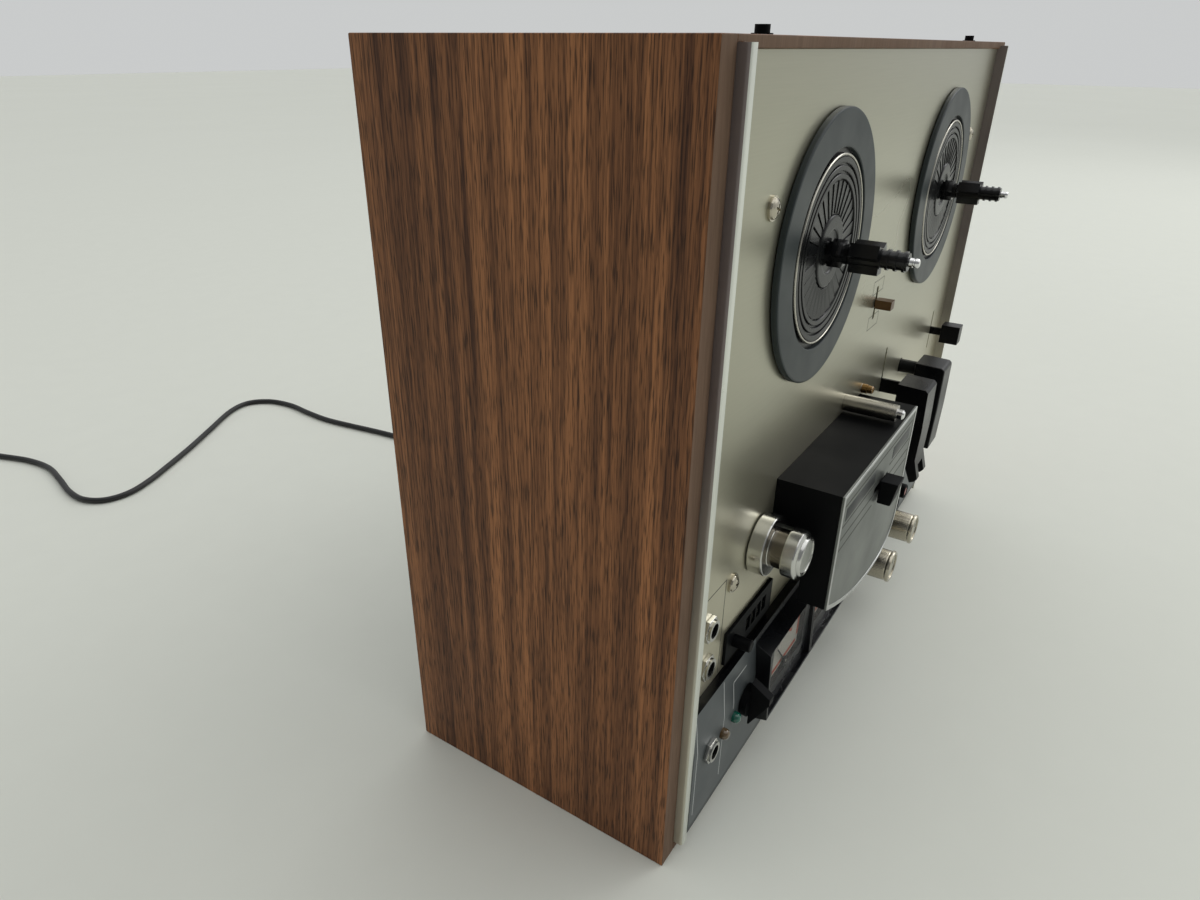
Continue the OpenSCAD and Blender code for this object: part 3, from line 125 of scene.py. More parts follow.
def spread(tree, source, low, high, fromLow=0.3, fromHigh=0.7):
    node = addNode(tree, "ShaderNodeMapRange",
                   {"From Min": fromLow, "From Max": fromHigh, "To Min": low, "To Max": high},
                   {"Value": source})
    return node.outputs["Result"]


def blendColour(tree, factor, a, b):
    node = addNode(tree, "ShaderNodeMix", data_type="RGBA")
    for socket, value in ((0, factor), (6, a), (7, b)):  # the sockets for the factor and the two colours
        if isinstance(value, (tuple, float, int)):
            node.inputs[socket].default_value = value
        else:
            tree.links.new(value, node.inputs[socket])
    return node.outputs[2]


def addBump(tree, shader, height, strength, depth):
    lift = addNode(tree, "ShaderNodeBump", {"Strength": strength, "Distance": depth}, {"Height": height})
    tree.links.new(lift.outputs["Normal"], shader.inputs["Normal"])


cloudSpec = {"detail": 3, "share": 0.5, "darker": 1.4, "coatRough": 0.15}  # wide clouds over the fine grain


def grainFinish(name, screenColour, tint=0.12, metal=0.0, rough=0.45, roughTint=0.08, grain=300, bump=0.15,
                depth=0.00005, wide=25, coat=0.0, aniso=0.0, shine=0.5, fade=None):
    mat, tree, shader = startFinish(name)
    colour = shade(*screenColour)
    fine = patternNoise(tree, grain)
    cloud = patternNoise(tree, wide, detail=cloudSpec["detail"])
    base = blendColour(tree, spread(tree, fine, 0, 1), dim(colour, 1 - tint), dim(colour, 1 + tint))
    base = blendColour(tree, spread(tree, cloud, 0, cloudSpec["share"]), base,
                       dim(colour, 1 - tint * cloudSpec["darker"]))
    if fade:  # painted floor-bounce light: a paler colour towards the floor, between two heights in metres
        lowColour, zLow, zHigh = fade
        spot = addNode(tree, "ShaderNodeTexCoord")
        parts = addNode(tree, "ShaderNodeSeparateXYZ", None, {"Vector": spot.outputs["Object"]})
        base = blendColour(tree, spread(tree, parts.outputs["Z"], 1, 0, zLow, zHigh), base, shade(*lowColour))
    tree.links.new(base, shader.inputs["Base Color"])
    tree.links.new(spread(tree, cloud, rough - roughTint, rough + roughTint), shader.inputs["Roughness"])
    addBump(tree, shader, fine, bump, depth)
    shader.inputs["Metallic"].default_value = metal
    shader.inputs["Coat Weight"].default_value = coat
    shader.inputs["Coat Roughness"].default_value = cloudSpec["coatRough"]
    shader.inputs["Anisotropic"].default_value = aniso
    shader.inputs["Specular IOR Level"].default_value = shine
    return mat


# Walnut veneer: broad bands, long streaks, fine dark lines and short pores along the grain
walnut = {
    "light": shade(180, 122, 78), "mid": shade(128, 82, 53), "dark": shade(68, 42, 29),
    "line": shade(24, 15, 11),
    # how often per metre across and along the grain, then the noise's detail, roughness and distortion
    "band": (46, 1.6, 3, 0.55, 0.3), "streak": (180, 2, 4, 0.6, 0.2),
    "thread": (1000, 22, 3, 0.55, 0.25), "pore": (1700, 90, 2, 0.5, 0.2),
    # the noise values between which a tone changes, with its share first where it isn't whole
    "bandTone": (0.36, 0.66), "streakTone": (0.4, 0.62), "darkThread": (0.66, 0.34, 0.52),
    "lightThread": (0.3, 0.54, 0.7), "darkPore": (0.68, 0.36, 0.5),
    "midShare": 0.35, "streakShare": 0.5, "rough": (0.56, 0.45), "bump": 0.2, "depth": 0.0001, "shine": 0.22,
}


def woodFinish(name, along, w):
    mat, tree, shader = startFinish(name)

    def grain(key):
        across, length, *look = w[key]
        return patternNoise(tree, tuple(length if i == along else across for i in range(3)), *look)

    band, streak, thread, pore = (grain(key) for key in ("band", "streak", "thread", "pore"))
    base = blendColour(tree, spread(tree, band, 0, 1, *w["bandTone"]), w["dark"], w["light"])
    base = blendColour(tree, w["midShare"], base, w["mid"])
    tone = blendColour(tree, spread(tree, streak, 0, 1, *w["streakTone"]), w["dark"], w["light"])
    base = blendColour(tree, w["streakShare"], base, tone)
    share, *between = w["darkThread"]
    base = blendColour(tree, spread(tree, thread, share, 0, *between), base, w["dark"])
    share, *between = w["lightThread"]
    base = blendColour(tree, spread(tree, thread, 0, share, *between), base, w["light"])
    share, *between = w["darkPore"]
    base = blendColour(tree, spread(tree, pore, share, 0, *between), base, w["line"])
    tree.links.new(base, shader.inputs["Base Color"])
    tree.links.new(spread(tree, streak, *w["rough"]), shader.inputs["Roughness"])
    addBump(tree, shader, pore, w["bump"], w["depth"])
    shader.inputs["Specular IOR Level"].default_value = w["shine"]
    return mat


walnutUpright = woodFinish("walnutUpright", 2, walnut)
walnutAcross = woodFinish("walnutAcross", 0, walnut)
walnutEdge = grainFinish("walnutEdge", (116, 94, 78), tint=0.2, rough=0.6, grain=(900, 900, 60), bump=0.2,
                         depth=0.00008, wide=(60, 60, 8), shine=0.08)

# Panels and trims
# painted floor-bounce light: the deck turns paler and warmer towards the bottom
champagneDeck = grainFinish("champagneDeck", (174, 172, 153), tint=0.035, metal=0.8, rough=0.3, roughTint=0.03,
                            grain=(30, 700, 1400), bump=0.03, depth=0.00002, wide=(4, 4, 6),
                            fade=((206, 200, 176), 0.08, 0.19))
brightTrim = grainFinish("brightTrim", (226, 228, 220), tint=0.03, metal=0.75, rough=0.34,
                         grain=(1500, 1500, 20), bump=0.08, depth=0.00002)
# painted shade: the trims' sides are the trims' own aluminium darkened for the weak light on them, with painted
# floor-bounce light making them paler towards the bottom
trimSide = grainFinish("trimSide", (132, 122, 120), tint=0.05, metal=0.6, rough=0.4, grain=(1500, 1500, 20),
                       bump=0.08, depth=0.00002, shine=0.3, fade=((200, 196, 180), 0.08, 0.2))
brushedSilver = grainFinish("brushedSilver", (196, 197, 196), tint=0.06, metal=0.9, rough=0.32,
                            grain=(20, 900, 1800), bump=0.12, depth=0.00003, aniso=0.4)
plateGrey = grainFinish("plateGrey", (124, 127, 124), tint=0.04, metal=0.85, rough=0.42,
                        grain=(20, 900, 1800), bump=0.1, depth=0.00003, aniso=0.4)
controlBlack = grainFinish("controlBlack", (86, 91, 93), tint=0.06, metal=0.3, rough=0.42,
                           grain=(60, 1500, 1500), bump=0.1, depth=0.00003)
# painted shade for the control panel's foot
panelShade = grainFinish("panelShade", (40, 46, 51), tint=0.06, metal=0.3, rough=0.42,
                         grain=(60, 1500, 1500), bump=0.1, depth=0.00003)
hardboard = grainFinish("hardboard", (66, 56, 48), tint=0.22, rough=0.72, grain=700, bump=0.45, depth=0.00012,
                        wide=12)

# Black and grey mouldings, rubber
satinBlack = grainFinish("satinBlack", (10, 11, 13), rough=0.5, grain=1400, bump=0.2, depth=0.00004, shine=0.08)
leverBlack = grainFinish("leverBlack", (10, 11, 14), tint=0.1, rough=0.3, grain=1200, bump=0.12, depth=0.00003,
                         shine=0.2)
glossBlack = grainFinish("glossBlack", (11, 11, 13), tint=0.1, rough=0.2, roughTint=0.04, grain=500, bump=0.05,
                         depth=0.00002, shine=0.4)
# the meters' black, also used as painted shade on the control panel's strip over the meters
meterBlack = grainFinish("meterBlack", (17, 18, 21), tint=0.08, rough=0.3, grain=900, bump=0.06, depth=0.00002,
                         shine=0.4)
dishBlack = grainFinish("dishBlack", (18, 19, 20), tint=0.08, rough=0.28, roughTint=0.04, grain=700, bump=0.06,
                        depth=0.00002, shine=0.2)
screwBlack = grainFinish("screwBlack", (36, 36, 37), tint=0.1, metal=0.4, rough=0.4, grain=800, bump=0.1)
tableGrey = grainFinish("tableGrey", (47, 54, 55), tint=0.05, rough=0.42, grain=900, bump=0.1, depth=0.00003,
                        shine=0.3)
motorGrey = grainFinish("motorGrey", (74, 78, 80), metal=0.3, rough=0.5, bump=0.2)
rollerRubber = grainFinish("rollerRubber", (34, 33, 33), tint=0.15, rough=0.75, grain=900, bump=0.3,
                           depth=0.00006)
cordBlack = grainFinish("cordBlack", (26, 26, 27), rough=0.5, grain=700)

# Plated and bare metal
chromePlate = grainFinish("chromePlate", (226, 226, 226), tint=0.02, metal=1.0, rough=0.12, roughTint=0.05,
                          grain=400, bump=0.03, depth=0.00001)
nickelPlate = grainFinish("nickelPlate", (186, 180, 164), tint=0.02, metal=1.0, rough=0.2, roughTint=0.02,
                          grain=500, bump=0.015, depth=0.00001)
nutSteel = grainFinish("nutSteel", (196, 195, 190), tint=0.03, metal=1.0, rough=0.12, roughTint=0.04, grain=400,
                       bump=0.03, depth=0.00001)
satinSteel = grainFinish("satinSteel", (206, 206, 202), tint=0.03, metal=1.0, rough=0.22, roughTint=0.02,
                         bump=0.015, depth=0.00001)
# painted shade and painted reflection: the roller's steel darkened on its waist
waistSteelPaintedShade = grainFinish("waistSteelPaintedShade", (124, 118, 108), tint=0.04, metal=1.0, rough=0.24, roughTint=0.02,
                         bump=0.015, depth=0.00001)
sleeveSteel = grainFinish("sleeveSteel", (186, 182, 172), tint=0.04, metal=1.0, rough=0.26, roughTint=0.03,
                          bump=0.02, depth=0.00001)
turnedSteel = grainFinish("turnedSteel", (190, 190, 188), tint=0.05, metal=1.0, rough=0.24, grain=700,
                          bump=0.06, depth=0.00002)
platedSteel = grainFinish("platedSteel", (160, 163, 160), tint=0.08, metal=0.9, rough=0.4, grain=200, bump=0.1,
                          depth=0.00003)
satinBrass = grainFinish("satinBrass", (142, 112, 70), tint=0.08, metal=0.9, rough=0.3, grain=500, bump=0.06,
                         depth=0.00002)
# painted shade: the speed tab is brass like the stud's cap, darkened for the shade on its body
tabBrassPaintedShade = grainFinish("tabBrassPaintedShade", (98, 74, 50), tint=0.08, metal=0.85, rough=0.34, grain=500, bump=0.06,
                        depth=0.00002)

# Print, dials, lamps and the rest
printWhite = grainFinish("printWhite", (206, 208, 206), tint=0.04, rough=0.6, grain=600, bump=0.05)
printDark = grainFinish("printDark", (58, 58, 54), tint=0.06, rough=0.6, grain=600, bump=0.05)
printGrey = grainFinish("printGrey", (116, 117, 106), tint=0.05, rough=0.6, grain=600, bump=0.05)
bandGrey = grainFinish("bandGrey", (60, 62, 63), tint=0.06, metal=0.5, grain=(400, 400, 900), bump=0.06)
dialCream = grainFinish("dialCream", (206, 202, 190), tint=0.03, rough=0.55, grain=200, bump=0.03)
dialRed = grainFinish("dialRed", (196, 84, 52), tint=0.05, rough=0.6, grain=500, bump=0.04)
recordRed = grainFinish("recordRed", (128, 34, 28), tint=0.08, rough=0.28, grain=400, bump=0.05)
boardGreen = grainFinish("boardGreen", (78, 104, 58), tint=0.15, rough=0.5, bump=0.1)
lampGreen = grainFinish("lampGreen", (18, 92, 76), tint=0.1, rough=0.15, bump=0.03, coat=0.6)
lampAmber = grainFinish("lampAmber", (94, 72, 40), tint=0.1, rough=0.12, bump=0.02, coat=1.0)

lensSpec = {"colour": (0.06, 0.065, 0.07, 1), "alpha": 0.15, "haze": 90, "rough": (0.02, 0.08)}


def lensFinish(name, s):
    mat, tree, shader = startFinish(name)
    tree.links.new(spread(tree, patternNoise(tree, s["haze"]), *s["rough"]), shader.inputs["Roughness"])
    shader.inputs["Base Color"].default_value = s["colour"]
    shader.inputs["Alpha"].default_value = s["alpha"]
    return mat


clearLens = lensFinish("clearLens", lensSpec)
print("materials made")

# A finish for the CAD nodes that show as they are
coats = {
    platedSteel: ["chassis_plate", "panel_switchgear"],
    dialCream: ["meter_movements"],
    clearLens: ["meter_windows"],
    satinBrass: ["shaft_bearings", "motor_pulley"],
    rollerRubber: ["drive_belt"],
    motorGrey: ["motor", "transformer"],
    boardGreen: ["circuit_board"],
}


def coat(nodeNames, finish):
    for nodeName in nodeNames:
        nodes[nodeName].material_slots[0].material = finish


for finish, group in coats.items():
    coat(group, finish)
print("CAD nodes coated")

# Mesh helpers
bodyOf = {n: body for body, group in frame["record"]["behaviour"]["bodies"].items() for n in group}
meshSpec = {
    "merge": 0.002, "tooShort": 2.2,  # mm, and times the width, below which an edge stays sharp
    "flat": 0.5, "sharp": 40, "crease": 32,  # degrees
    "longStretch": 1.2, "loopInset": 0.12,  # mm
    "ink": (-0.03, 0.02),  # mm, from a printed line's front to its back
    "figureSteps": 3,
}


def place(x, y, z):  # mm, with y measured back from the boards' front edges
    return Vector((x * mm, (y + frontEdge) * mm, z * mm))


def camelName(nodeName):
    first, *rest = nodeName.split("_")
    return first + "".join(word.title() for word in rest)


def newMesh(name, bm):
    mesh = bpy.data.meshes.new(name)
    bm.to_mesh(mesh)
    bm.free()
    return mesh


def closedMesh(name, bm):  # a shell built face by face
    bmesh.ops.recalc_face_normals(bm, faces=bm.faces)
    return newMesh(name, bm)


def smoothByAngle(mesh, limit):
    bm = bmesh.new()
    bm.from_mesh(mesh)
    for face in bm.faces:
        face.smooth = True
    for edge in bm.edges:
        edge.smooth = len(edge.link_faces) == 2 and edge.calc_face_angle(pi) < radians(limit)
    bm.to_mesh(mesh)
    bm.free()


def setPiece(name, mesh, body, finish, replaced=(), smooth=meshSpec["crease"]):
    obj = linkObject(name, mesh)
    if not mesh.materials:
        mesh.materials.append(finish)
    if smooth:
        smoothByAngle(mesh, smooth)
    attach(obj, body)
    if replaced:
        coat(replaced, finish)
        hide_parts(*replaced)
    return obj


def breakEdges(bm, edges, width, steps=2):
    bmesh.ops.bevel(bm, geom=edges, offset=width * mm, offset_type="OFFSET", segments=steps, profile=0.5,
                    affect="EDGES", clamp_overlap=True)


def dress(nodeName, width, finish):  # a CAD node's shape with its sharp edges broken
    name, s = camelName(nodeName), meshSpec
    bm = bmesh.new()
    bm.from_mesh(nodes[nodeName].data)
    bmesh.ops.remove_doubles(bm, verts=bm.verts, dist=s["merge"] * mm)
    bmesh.ops.dissolve_limit(bm, angle_limit=radians(s["flat"]), verts=bm.verts, edges=bm.edges)
    shortest, sharp = s["tooShort"] * width * mm, radians(s["sharp"])
    breakEdges(bm, [e for e in bm.edges if len(e.link_faces) == 2 and e.calc_length() > shortest
                    and e.calc_face_angle(0) > sharp], width)
    piece = setPiece(name, newMesh(name, bm), bodyOf[nodeName], finish, (nodeName,))
    even = piece.modifiers.new("evenShading", "WEIGHTED_NORMAL")  # flat faces look flat beside broken edges
    even.keep_sharp = True
    return piece


def straightened(profile, closed):  # points near both ends of a long stretch keep its shading straight
    rows = []
    for i, (r, y) in enumerate(profile):
        rows.append((r, y))
        if i + 1 == len(profile) and not closed:
            break
        r2, y2 = profile[(i + 1) % len(profile)]
        length = hypot(r2 - r, y2 - y)
        if length > meshSpec["longStretch"]:
            inset = meshSpec["loopInset"] / length
            rows += [(r + (r2 - r) * t, y + (y2 - y) * t) for t in (inset, 1 - inset)]
    return rows


def lathe(name, x, z, profile, steps, closed=False):  # (radius, y) pairs turned about an axis along y
    bm = bmesh.new()
    rings = []
    turns = [2 * pi * i / steps for i in range(steps)]
    for r, y in straightened(profile, closed):
        if r == 0:
            rings.append([bm.verts.new(place(x, y, z))])
        else:
            rings.append([bm.verts.new(place(x + r * cos(a), y, z + r * sin(a))) for a in turns])
    for a, b in zip(rings, rings[1:] + (rings[:1] if closed else [])):
        for i in range(steps):
            k = (i + 1) % steps
            corners = [a[i % len(a)], a[k % len(a)], b[k % len(b)], b[i % len(b)]]
            bm.faces.new(list(dict.fromkeys(corners)))
    return closedMesh(name, bm)


def turnedPiece(name, x, z, profile, steps, body, finish, slotName, replaced=(), closed=False):
    return setPiece(name, lathe(name, x, z, profile, steps, closed), body, finish, replaced)


def addBox(bm, low, high, width=0.0, steps=2, local=False):
    low, high = (Vector(v) * mm if local else place(*v) for v in (low, high))
    matrix = Matrix.Translation((low + high) / 2) @ Matrix.Diagonal((*(high - low), 1))
    verts = bmesh.ops.create_cube(bm, size=1, matrix=matrix)["verts"]
    if width:
        breakEdges(bm, list({e for v in verts for e in v.link_edges}), width, steps)


def boxes(name, rows, width=0.0, local=False):  # rows of low and high corners, in mm
    bm = bmesh.new()
    for low, high in rows:
        addBox(bm, low, high, width, local=local)
    return newMesh(name, bm)


def joinRings(bm, rings, around):  # four-cornered rings joined to a bar, with ends or all the way round
    for a, b in zip(rings, rings[1:] + (rings[:1] if around else [])):
        for k in range(4):
            bm.faces.new((a[k], a[k - 1], b[k - 1], b[k]))
    if not around:
        bm.faces.new(rings[0])
        bm.faces.new(rings[-1][::-1])


def strokes(name, rows, faceAt, width):  # printed lines from (x, z) to (x, z) on a face at y = faceAt(z)
    bm = bmesh.new()
    for x0, z0, x1, z1 in rows:
        start, end = Vector((x0, 0, z0)), Vector((x1, 0, z1))
        along = end - start
        side = Vector((-along.z, 0, along.x)).normalized() * width / 2
        corners = [start + side, start - side, end - side, end + side]
        joinRings(bm, [[bm.verts.new(place(p.x, faceAt(p.z) + d, p.z)) for p in corners]
                       for d in meshSpec["ink"]], False)
    return closedMesh(name, bm)


def figures(name, words, size, depth, spot):  # a number as a mesh
    curve = bpy.data.curves.new(name, "FONT")
    curve.body, curve.size, curve.extrude = words, size * mm, depth * mm / 2
    curve.align_x, curve.align_y = "CENTER", "CENTER"
    curve.resolution_u = meshSpec["figureSteps"]
    obj = bpy.data.objects.new(name, curve)
    flat = bpy.data.meshes.new_from_object(obj)
    bpy.data.objects.remove(obj)
    flat.transform(spot @ Matrix.Rotation(pi / 2, 4, "X"))
    return flat


def joinMeshes(name, meshes):
    bm = bmesh.new()
    for mesh in meshes:
        bm.from_mesh(mesh)
    return newMesh(name, bm)


def splitFaces(mesh, spot, normal):  # a seam across a piece, for a change of finish
    bm = bmesh.new()
    bm.from_mesh(mesh)
    bmesh.ops.bisect_plane(bm, geom=bm.verts[:] + bm.edges[:] + bm.faces[:], plane_co=spot, plane_no=normal)
    bm.to_mesh(mesh)
    bm.free()


def addFinishes(mesh, extras, zone):  # zone(face) is 0 for the piece's first finish, 1 for the next
    for finish in extras:
        mesh.materials.append(finish)
    for face in mesh.polygons:
        face.material_index = int(zone(face))


def makeCopyTree():  # one shape on every point, turned by the points' own attribute
    tree = bpy.data.node_groups.new("copiesOnPoints", "GeometryNodeTree")
    for label, kind in (("Points", "Geometry"), ("Shape", "Object"), ("Finish", "Material")):
        tree.interface.new_socket(label, in_out="INPUT", socket_type="NodeSocket" + kind)
    tree.interface.new_socket("Copies", in_out="OUTPUT", socket_type="NodeSocketGeometry")
    start = addNode(tree, "NodeGroupInput").outputs
    shape = addNode(tree, "GeometryNodeObjectInfo", {"As Instance": True}, {"Object": start["Shape"]})
    turn = addNode(tree, "GeometryNodeInputNamedAttribute", {"Name": "turn"}, data_type="FLOAT_VECTOR")
    euler = addNode(tree, "FunctionNodeEulerToRotation", None, {"Euler": turn.outputs["Attribute"]})
    onPoints = addNode(tree, "GeometryNodeInstanceOnPoints", None, {
        "Points": start["Points"], "Instance": shape.outputs["Geometry"],
        "Rotation": euler.outputs["Rotation"]})
    real = addNode(tree, "GeometryNodeRealizeInstances", None, {"Geometry": onPoints.outputs["Instances"]})
    paint = addNode(tree, "GeometryNodeSetMaterial", None,
                    {"Geometry": real.outputs["Geometry"], "Material": start["Finish"]})
    addNode(tree, "NodeGroupOutput", None, {"Copies": paint.outputs["Geometry"]})
    return tree


copyTree = makeCopyTree()
socketOf = {item.name: item.identifier for item in copyTree.interface.items_tree}


def copies(name, shape, rows, finish):  # rows of (place, turn)
    points = bpy.data.meshes.new(name + "Points")
    points.from_pydata([spot for spot, turn in rows], [], [])
    turns = points.attributes.new("turn", "FLOAT_VECTOR", "POINT").data
    for item, (spot, turn) in zip(turns, rows):
        item.vector = turn
    carrier, sample = linkObject(name + "Points", points), linkObject(name + "Shape", shape)
    mod = carrier.modifiers.new("copies", "NODES")
    mod.node_group = copyTree
    mod[socketOf["Shape"]], mod[socketOf["Finish"]] = sample, finish
    mesh = bpy.data.meshes.new_from_object(carrier.evaluated_get(bpy.context.evaluated_depsgraph_get()))
    carrier.modifiers.remove(mod)
    for obj in (carrier, sample):
        bpy.data.objects.remove(obj)
    return mesh


def cabinetCopies(name, shape, rows, finish):
    return setPiece(name, copies(name, shape, rows, finish), "cabinet", finish)


def printedPiece(name, mesh, finish):
    setPiece(name, mesh, "cabinet", finish, smooth=0)


def ringRows(x, z, count, first=0.0):
    return [(place(x, 0, z), (0, first + 2 * pi * i / count, 0)) for i in range(count)]


def stillRows(spots):
    return [(place(*spot), (0, 0, 0)) for spot in spots]


# Mains cord: the route of the CAD tube and coil, in mm
cordSpec = {
    "diameter": 4.2, "floor": 2.35, "exit": (40, 103.5, 45), "steps": 8, "roundness": 5,
    "route": [(40, 120, 43), (40, 140, 36), (40, 160, 25), (40, 180, 14), (40, 200, 5.4), (39, 225), (38, 260),
              (36, 300), (32, 345), (26, 385), (23, 411), (24, 438), (26, 464), (21, 488), (6, 502), (-16, 498),
              (-50, 478), (-82, 459), (-110, 444), (-134, 432), (-154, 426), (-170, 430), (-179, 444),
              (-179, 465), (-173, 492), (-168, 520), (-171, 547), (-180, 574), (-189, 600, 2.8),
              (-195, 622, 3.4), (-196, 637, 3.4)],
    "coilCentre": (-228.6, 645), "coilRadius": 32.6, "pitch": 4.8, "layerTurns": 3, "climb": 0.5, "low": 3.4,
    "tail": 26, "coilRings": 36,
}


def curveBetween(p, i, t):  # a smooth curve through four neighbouring points
    a, b, c, d = p[max(i - 1, 0)], p[i], p[i + 1], p[min(i + 2, len(p) - 1)]
    return 0.5 * (2 * b + (c - a) * t + (2 * a - 5 * b + 4 * c - d) * t * t
                  + (3 * b - a - 3 * c + d) * t * t * t)


def coilPoint(s, turns, turn):  # in on the lower layer, a climb, out on the upper one
    inward = turn if turn < s["layerTurns"] + s["climb"] / 2 else turns - turn
    radius = s["coilRadius"] - s["pitch"] * inward
    t = min(max((turn - s["layerTurns"]) / s["climb"], 0), 1)
    angle = 2 * pi * turn
    return Vector((s["coilCentre"][0] + radius * cos(angle), s["coilCentre"][1] + radius * sin(angle),
                   s["low"] + s["pitch"] * t * t * (3 - 2 * t)))


def cordPath(s):
    stops = [Vector(s["exit"])] + [Vector(p if len(p) == 3 else (*p, s["floor"])) for p in s["route"]]
    path = [curveBetween(stops, i, k / s["steps"]) for i in range(len(stops) - 1) for k in range(s["steps"])]
    path.append(stops[-1])
    turns = 2 * s["layerTurns"] + s["climb"]
    rings = round(turns * s["coilRings"])
    path += [coilPoint(s, turns, turns * i / rings) for i in range(rings + 1)]
    path.append(path[-1] - Vector((0, s["tail"], 0)))
    return [p * mm for p in path]


def makeCord(s):
    path = cordPath(s)
    curve = bpy.data.curves.new("mainsCord", "CURVE")
    curve.dimensions = "3D"
    curve.bevel_depth = s["diameter"] * mm / 2
    curve.bevel_resolution = s["roundness"]
    curve.use_fill_caps = True
    spline = curve.splines.new("POLY")
    spline.points.add(len(path) - 1)
    for point, p in zip(spline.points, path):
        point.co = (*p, 1)
    spline.use_smooth = True
    curve.materials.append(cordBlack)
    obj = linkObject("mainsCord", curve)
    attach(obj, "cabinet")
    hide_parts("cord_free", "cord_coil")
    length = sum((b - a).length for a, b in zip(path, path[1:]))
    return obj, path, length


cordObject, cordLine, cordLength = makeCord(cordSpec)
print("cord laid: %.3f m" % cordLength)

# Plain pieces: their CAD shape with broken edges and smooth curves
plainSpec = [
    # finish, broken edge in mm, nodes
    (walnutUpright, 0.5, ["side_board_left", "side_board_right"]),
    (walnutAcross, 0.5, ["top_board", "bottom_board"]),
    (champagneDeck, 0.25, ["deck_panel"]),
    (brightTrim, 0.5, ["side_trims"]),
    (controlBlack, 0.4, ["control_panel"]),
    (satinBlack, 1.0, ["head_cover"]),
    (meterBlack, 0.6, ["meter_housing"]),
    (satinBlack, 0.6, ["head_switch", "selector_knob"]),
    (satinBlack, 0.3, ["counter_frame", "counter_reset", "top_screws", "needle_left", "needle_right"]),
    (plateGrey, 0.25, ["head_face_plate"]),
    (leverBlack, 0.9, ["play_lever", "wind_lever", "power_lever"]),
    (glossBlack, 0.3, ["supply_reel_lock", "takeup_reel_lock"]),
    (chromePlate, 0.3, ["guide_posts", "tape_heads"]),
    (nutSteel, 0.3, ["jack_sockets"]),
    (sleeveSteel, 0.3, ["capstan_sleeve"]),
    (nickelPlate, 0.3, ["panel_screws"]),
    (turnedSteel, 0.3, ["capstan_flywheel", "pinch_arm"]),
    (tabBrassPaintedShade, 0.3, ["speed_tab"]),
    (rollerRubber, 0.4, ["pinch_roller"]),
    (satinBlack, 0.2, ["record_button_left", "record_button_right"]),
    (platedSteel, 0.3, ["rear_jack_panel", "head_bridge"]),
    (hardboard, 0.4, ["back_cover"]),
    (cordBlack, 0.4, ["cord_gland"]),
]
pieces = {n: dress(n, width, finish) for finish, width, group in plainSpec for n in group}

# Second finishes: solid-wood strips along the boards' fronts, the plate's polished rim, and painted shade on
# the trims' sides
facing = {"board": 0.7, "trim": 0.8, "ledge": 0.8, "foot": 0.5, "waist": 0.5}  # shares of a face's normal
rimAt = -27.95  # y of the plate's rim, in mm
for name in ("side_board_left", "side_board_right", "top_board", "bottom_board"):
    addFinishes(pieces[name].data, [walnutEdge], lambda face: face.normal.y < -facing["board"])
addFinishes(pieces["head_face_plate"].data, [brushedSilver],
            lambda face: face.center.y < (frontEdge + rimAt) * mm)
# painted shade on the trims' side faces
addFinishes(pieces["side_trims"].data, [trimSide], lambda face: abs(face.normal.x) > facing["trim"])

# Control panel: black ledge, painted shade on its foot and painted shade on the strip over the meters, in mm
panelSpec = {"ledge": 70, "foot": 13, "meters": (-128, -12), "face": -4.5, "leanStart": 54, "lean": 0.1}


def panelZone(face):
    x, z = face.center.x / mm, face.center.z / mm
    left, right = panelSpec["meters"]
    if face.normal.z > facing["ledge"] and z > panelSpec["ledge"]:
        return 1
    # painted shade along the panel's foot
    if face.normal.y < -facing["foot"] and z < panelSpec["foot"]:
        return 2
    # painted shade on the strip over the meters, in the meters' black
    return 3 if z > panelSpec["leanStart"] and left < x < right else 0


def makePanelZones(mesh, s):
    splitFaces(mesh, place(0, 0, s["foot"]), (0, 0, 1))
    for x in s["meters"]:
        splitFaces(mesh, place(x, 0, 0), (1, 0, 0))
    addFinishes(mesh, [glossBlack, panelShade, meterBlack], panelZone)


makePanelZones(pieces["control_panel"].data, panelSpec)
print("plain pieces dressed")

# Reel tables: flat ring, grooved dish with radial ribs, bright ring, and the fixed part of the spindle
tableSpec = {
    "tables": (("supply", -94.7), ("takeup", 94.7)), "z": 240.5, "ribs": 30,
    "steps": {"ring": 128, "dish": 96, "bright": 128, "core": 40, "pin": 32},
    "ring": [(38.5, -1.3), (38.9, -1.6), (51.5, -1.6), (52.1, -1.4), (52.4, -0.9), (52.4, 0.9), (52.2, 1),
             (38.5, 1)],
    "bright": [(35.5, -0.8), (35.55, -1.4), (35.7, -1.58), (36.1, -1.58), (36.35, -1.35), (36.48, -0.8)],
    "dish": [(0, -0.7), (7.4, -0.7), (8.1, -0.9), (8.5, -1.35), (9.1, -1.5), (13.1, -1.5), (13.8, -1.3),
             (14.1, -0.9), (14.2, -0.3), (26.8, -0.3), (27, -1.1), (27.2, -1.35), (28.8, -1.35), (29, -1.15),
             (29.1, -0.4), (29.9, -0.4), (30, -1.15), (30.2, -1.35), (31.8, -1.35), (32, -1.15), (32.1, -0.4),
             (32.9, -0.4), (33, -1.2), (33.2, -1.4), (35, -1.4), (35.2, -1), (36.5, -1), (36.5, 0.3),
             (38.6, 0.3), (38.6, 1), (7, 1), (7, 7.5), (4, 7.5), (4, 60), (0, 60)],
    "rib": {"radii": (14.6, 26.6), "half": 5.2, "front": (-0.72, -1.02), "back": (-0.1, -0.1), "edge": 0.1,
            "crease": 20},
    "core": [(0, -9.25), (3.5, -9.25), (3.9, -8.9), (3.9, -0.5), (0, -0.5)],
    "wing": ((1, -7, -2.6), (5.2, -1.1, 2.6)), "wings": 3, "firstWing": 90, "wingEdge": 0.35,
    "pin": [(0, -35.2), (1.2, -35.2), (1.6, -34.9), (1.8, -34.4), (1.8, -33.8), (1.5, -33.6), (1.5, -33.1),
            (1.8, -32.9), (1.8, -31.7), (1.6, -31.45), (1.2, -31.4), (1.2, -9), (0, -9)],
}


